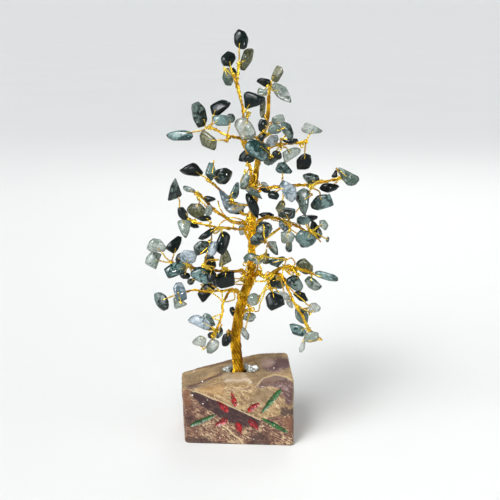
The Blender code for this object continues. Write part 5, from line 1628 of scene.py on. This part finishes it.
# Wires: radii, spacing of their points and lengths of a full turn, in metres
BUNDLES = 10
BUNDLE_SHARE = 0.23
BUNDLES_END = 0.64  # share of the trunk that is wound of bundles
ROPE_START = 0.56  # share of the trunk where its upper rope starts
TRUNK_PITCH = -0.048
BUNDLE_STRANDS = 6
BUNDLE_PITCH = -0.019
UPPER_STRANDS = 8
UPPER_PITCH = -0.022
UPPER_WIRE = 0.0003
STEM_PITCH = 0.0048
BRANCH_PITCH = 0.0085
BRANCH_FULLNESS = 1.08
LOOSE_PITCHES = (0.0075, 0.0125)
TRUNK_SPACING = 0.0011
ROUTE_SPACING = 0.0008
COIL_SPACING = 0.0005
FINE_SPACING = 0.00045
JOIN_REACH = 0.007  # how far from a rope a loose wire's end is still led to it
KNOT_TURNS = 3.6
KNOT_POINTS = 48
KNOT_LENGTH = 0.0022
WIRE_SIDES = 6
LOOP_WIRE = 0.00023
TWIG_WIRE = 0.00025
TWIG_PAIR = 0.00034
TWIG_BOW = 0.06
BRANCH_WIRE = 0.00026
LOOSE_WIRE = 0.00022
LOOSE_RUNS = [
    [(28, 100, -24), (20, 92, -26), (17, 86, -27), (13.7, 75.5, -26), (10.3, 67.5, -24),
     (8.5, 60.5, -20), (3, 61, -14), (-3, 66, -8)],
    [(26, 101, -25), (14.8, 83.5, -26), (8, 69.2, -22), (4, 68, -16), (-1, 73, -8)],
    [(8, 108, -14), (10.8, 104.8, -18), (12.6, 96.1, -23), (14.9, 92.7, -25), (19.4, 96.1, -27),
     (25.2, 100.2, -28), (28.6, 104.2, -27)],
    [(1, 97, -8), (6.8, 90.4, -14), (17, 90.4, -20), (24, 95, -20)],
    [(-2, 67, -8), (-0.5, 61.7, -15), (3, 60, -17), (4.5, 63, -15), (1, 64.5, -12), (-3, 69, -8)],
    [(33, 101, -27), (35, 107, -31), (36.7, 111.1, -31), (41.3, 113.4, -29), (44.7, 109.9, -27),
     (44.7, 106.5, -27), (40.1, 101.9, -31), (36, 103, -33), (33, 107, -30)],
    [(-22, 90, -30), (-13.9, 89.3, -20), (-9, 92, -15), (-6.4, 96.1, -9), (0, 100, -8)],
    [(-22, 88, -29), (-12, 87, -14), (-8, 87, -11), (-3, 88, -7)],
    [(-5, 76, -8), (-8, 78.3, -12), (-16, 82.3, -18), (-15, 75.4, -20), (-15.4, 72, -22),
     (-18.3, 70.8, -24), (-24, 69.6, -28), (-27.4, 72.5, -30)],
    [(-42, 80, -24), (-35.5, 77, -26), (-29.7, 72.5, -29), (-27, 68, -31)],
    [(-38, 86, -27), (-32.6, 82.9, -26), (-28, 79.5, -26), (-22.9, 81.7, -24), (-17, 83, -19)],
    [(-33, 83, -26), (-28, 78.3, -28), (-27.4, 73, -30)],
    [(-31.8, 170.8, 14), (-29.9, 163.2, 8), (-23.2, 154.5, -8), (-14.6, 153.6, -14), (-4, 149.8, -10)],
    [(-31, 146, -26), (-26, 150.5, -25), (-21, 152, -24), (-16.5, 149, -22), (-16.8, 144.5, -22),
     (-21.5, 141.6, -24), (-26.5, 144.5, -25), (-33, 141, -30)],
    [(5.5, 234.5, -6), (10.6, 228.3, -12), (13.2, 225.3, -16), (19, 219, -10)],
    [(6, 234, -8), (11, 227.6, -14), (15, 222, -14), (20, 216, -8)],
    [(15.7, 256, -4), (17.8, 246, -12), (11.6, 239.1, -16), (6, 234, -10)],
    [(21.8, 249.8, -22), (28.5, 248.2, -28)],
    [(24.9, 239.6, -24), (27.4, 242.6, -28), (24, 246, -24)],
    [(2.4, 200.8, -8), (-0.6, 194.7, -14), (1.9, 187.5, -17), (5.5, 189.6, -18), (6.5, 195.2, -16),
     (3.5, 200, -12), (7, 206, -6)],
    [(1, 205, -4), (-3, 198, -10), (-1, 190, -14), (4, 184, -12)],
    [(-27.5, 58, -32), (-32, 56, -31), (-37.4, 53.8, -30)],
    [(-41.5, 41.1, -33), (-37.4, 42.3, -36), (-34, 40, -36), (-34.6, 34.3, -36), (-38, 30.2, -35)],
    [(36.7, 90.4, -38), (40, 83.5, -41), (47, 76.6, -43), (53.9, 71, -42), (57, 67, -40),
     (62, 65, -38)],
]

# Coils of loose wire: across, up and back on the front view, reach and turns
LOOSE_COILS = [
    (38.5, 103, -31, 4.2, 5), (41, 99.5, -31, 3.2, 4), (-4.7, 107, -10, 2.2, 2), (9, 102, -16, 3.4, 3),
    (2, 100, -12, 3.0, 3), (18, 97, -24, 3.0, 3), (16, 255, -3, 2.6, 3), (20, 247, -8, 2.6, 3),
    (8, 188, -12, 2.6, 3), (-1, 151, -12, 3.0, 3), (-40, 107, -24, 2.6, 3), (63, 187, -6, 2.8, 3),
    (48, 146, 10, 2.8, 3), (-55, 150, -34, 2.4, 3), (52, 226, -10, 2.4, 3), (45, 90, -38, 2.8, 3),
    (-20, 168, 14, 2.4, 3), (42, 103, -26, 3.0, 4),
]

# Chips: how far they fill out their outline, flat patches and small waves
CHIP_FULLNESS = 1.06
CHIP_SHARPNESS = 30
CHIP_FLATS = (5, 9)
CHIP_FLAT_REACH = (0.66, 0.92)
CHIP_WAVE_COUNT = 4
CHIP_WAVES = 0.008
CHIP_WAVE_LENGTHS = (0.004, 0.008)
BALL, BALL_FACES = ball_mesh(3)

# Studio: floor, window, room, lamps and camera
FLOOR_REACH = 800
WINDOW_WAY = (-0.55, -0.6, 0.62)
WINDOW_LIGHT = 7.0
ROOM_LIGHT = 0.26
WALL_LIGHT = 0.9
LAMP_AIM = (0, 0, 0.13)
LAMPS = [
    ("fill light", (0.8, -0.4, 0.5), 0.5, 2), ("back light", (0.2, 0.9, 0.8), 0.5, 3),
    ("lamp beside the camera", (0.1, -0.7, 0.42), 0.06, 0.8),
]
CAMERA_PLACE = (0.009, -0.620, 0.2658)
CAMERA_TILT = 76.5  # degrees from straight down

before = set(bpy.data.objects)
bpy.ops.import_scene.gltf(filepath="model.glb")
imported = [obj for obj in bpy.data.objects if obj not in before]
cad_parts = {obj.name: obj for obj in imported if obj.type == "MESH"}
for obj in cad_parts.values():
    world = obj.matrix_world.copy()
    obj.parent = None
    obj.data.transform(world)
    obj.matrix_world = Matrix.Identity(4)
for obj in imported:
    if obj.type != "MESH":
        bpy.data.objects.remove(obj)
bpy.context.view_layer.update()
SOLID_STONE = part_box("stone_base")
ROUTES = lay_routes()
WIRE_TREE = wire_tree()
HANDLED = wear_group()
MOSS = moss_group()
GOLD = gold_finish("gold wire", (0.95, 0.62, 0.035), (0.46, 0.23, 0.008), 0.2)
GOLD_TRUNK = gold_finish("trunk gold wire", (0.95, 0.58, 0.03), (0.34, 0.15, 0.006), 0.17)
GOLD_FINE = gold_finish("fine gold wire", (1.0, 0.76, 0.07), (0.6, 0.36, 0.025), 0.18)
GOLD_SHADED = gold_finish("shaded gold wire", (0.3, 0.13, 0.006), (0.12, 0.045, 0.003), 0.35)
AGATE = {
    "K": agate_finish(
        "black", (0.001, 0.0015, 0.0015), (0.005, 0.008, 0.008), (0.008, 0.016, 0.014), 0.0, 0.24),
    "D": agate_finish(
        "dark green", (0.004, 0.01, 0.008), (0.17, 0.235, 0.205), (0.005, 0.011, 0.008), 0.05, 0.45),
    "T": agate_finish("teal", (0.006, 0.036, 0.034), (0.23, 0.36, 0.345), (0.01, 0.03, 0.026), 0.15),
    "G": agate_finish(
        "grey green", (0.08, 0.13, 0.105), (0.46, 0.52, 0.46), (0.02, 0.045, 0.028), 0.25),
    "O": agate_finish("olive", (0.11, 0.115, 0.05), (0.42, 0.4, 0.24), (0.03, 0.04, 0.015), 0.4),
    "B": agate_finish("blue grey", (0.13, 0.19, 0.22), (0.66, 0.74, 0.8), (0.05, 0.09, 0.1), 0.4),
    "C": agate_finish("clear", (0.4, 0.48, 0.43), (0.86, 0.88, 0.84), (0.1, 0.15, 0.1), 0.65),
}

# Tree
backs = space_out(ROUTES)
outer, core = trunk_wires()
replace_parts(lay_wires("trunk_rope", outer, GOLD_TRUNK), "trunk")
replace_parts(lay_wires("trunk_core", core, GOLD_SHADED), "trunk")
for name in BRANCHES:
    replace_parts(lay_wires(f"branch_{name}_rope", branch_wires(name), GOLD), "branch_" + name)
lay_wires("stray_wires", stray_wires(), GOLD_FINE)
chip_number = 0
place_number = 0
for name, sprig in SPRIGS.items():
    back = backs[place_number]
    joint = seen(*sprig.joint[:2], back)[0]
    stones = []
    for chip in sprig.chips:
        place_number += 1
        stones.append(Stone(chip, chip_number, backs[place_number], joint))
        chip_number += 1
    place_number += 1
    chips = piece(f"sprig_{name}_chips", chip_mesh(name, stones, AGATE), "agate")
    wire = lay_wires(f"sprig_{name}_wire", sprig_wires(sprig, back, stones), GOLD_FINE)
    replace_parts(chips, "sprig_" + name)
    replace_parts(wire, "sprig_" + name)

# Block
stone = piece("carved_stone", stone_mesh(stone_finish()), "stone", "stone_base")
crystal = crystal_finish()
bed = bed_mesh(glue_finish())
splinters = {"Density": 1.7e6, "Smallest": 0.0002, "Largest": 0.0006, "Seed": 3, "Finish": crystal}
shards = plain_mesh("crystal_splinters", shard_tree(), splinters, bed)
piece("glue_bed", bed, "glitter", "glitter_bed")
piece("crystal_splinters", shards, "glitter", "glitter_bed")
flake_look = Finish("bright crystal flake")
flake_tone = flake_look.mix(flake_look.noise(900.0), (0.8, 0.86, 0.88), (0.97, 0.98, 0.98))
flake_look.set(Base_Color=flake_tone, Roughness=0.12, Coat_Weight=0.8)
piece("crystal_flakes", flake_mesh(flake_look.material), "glitter", "glitter_bed")

# Floor, lamps, world and camera
floor_finish = Finish("pale floor")
floor_tone = floor_finish.mix(floor_finish.noise(3.0), (0.7, 0.7, 0.68), (0.74, 0.74, 0.72))
floor_finish.set(Base_Color=floor_tone, Roughness=0.8)
floor_mesh = bpy.data.meshes.new("floor")
corners = [(-1, -1), (1, -1), (1, 1), (-1, 1)]
floor_mesh.from_pydata([(FLOOR_REACH * x, FLOOR_REACH * y, 0) for x, y in corners], [], [(0, 1, 2, 3)])
floor_mesh.materials.append(floor_finish.material)
floor = placed("floor", floor_mesh)

for name, place, size, power in LAMPS:
    lamp = bpy.data.lights.new(name, "AREA")
    lamp.size = size
    lamp.energy = power
    hung = placed(name, lamp)
    hung.location = place
    hung.rotation_euler = (Vector(LAMP_AIM) - Vector(place)).to_track_quat("-Z", "Y").to_euler()
sun = bpy.data.lights.new("window light", "SUN")
sun.energy = 1.5
sun.angle = math.radians(20)
placed("window light", sun).rotation_euler = (math.radians(42), 0, math.radians(-28))
bpy.context.scene.view_settings.view_transform = "Standard"

world = bpy.data.worlds.new("studio")
bpy.context.scene.world = world
world.use_nodes = True
sky = world.node_tree
direction = put(sky, "ShaderNodeTexCoord").outputs["Generated"]
facing = put(sky, "ShaderNodeVectorMath", {0: direction, 1: Vector(WINDOW_WAY).normalized()},
             operation="DOT_PRODUCT").outputs["Value"]
window = eased(sky, facing, 0.9, 0.95, 0.0, WINDOW_LIGHT)
height = put(sky, "ShaderNodeSeparateXYZ", {0: direction}).outputs["Z"]
wall = eased(sky, height, 0.0, 0.24, WALL_LIGHT, ROOM_LIGHT)
backdrop = sky.nodes["Background"].inputs
backdrop["Color"].default_value = (0.8, 0.83, 0.87, 1)
sky.links.new(calc(sky, "ADD", window, wall), backdrop["Strength"])

camera_data = bpy.data.cameras.new("camera")
camera_data.lens = 75.6
camera_data.sensor_width = 36
camera = placed("camera", camera_data)
camera.location = CAMERA_PLACE
camera.rotation_euler = (math.radians(CAMERA_TILT), 0, 0)
bpy.context.scene.camera = camera
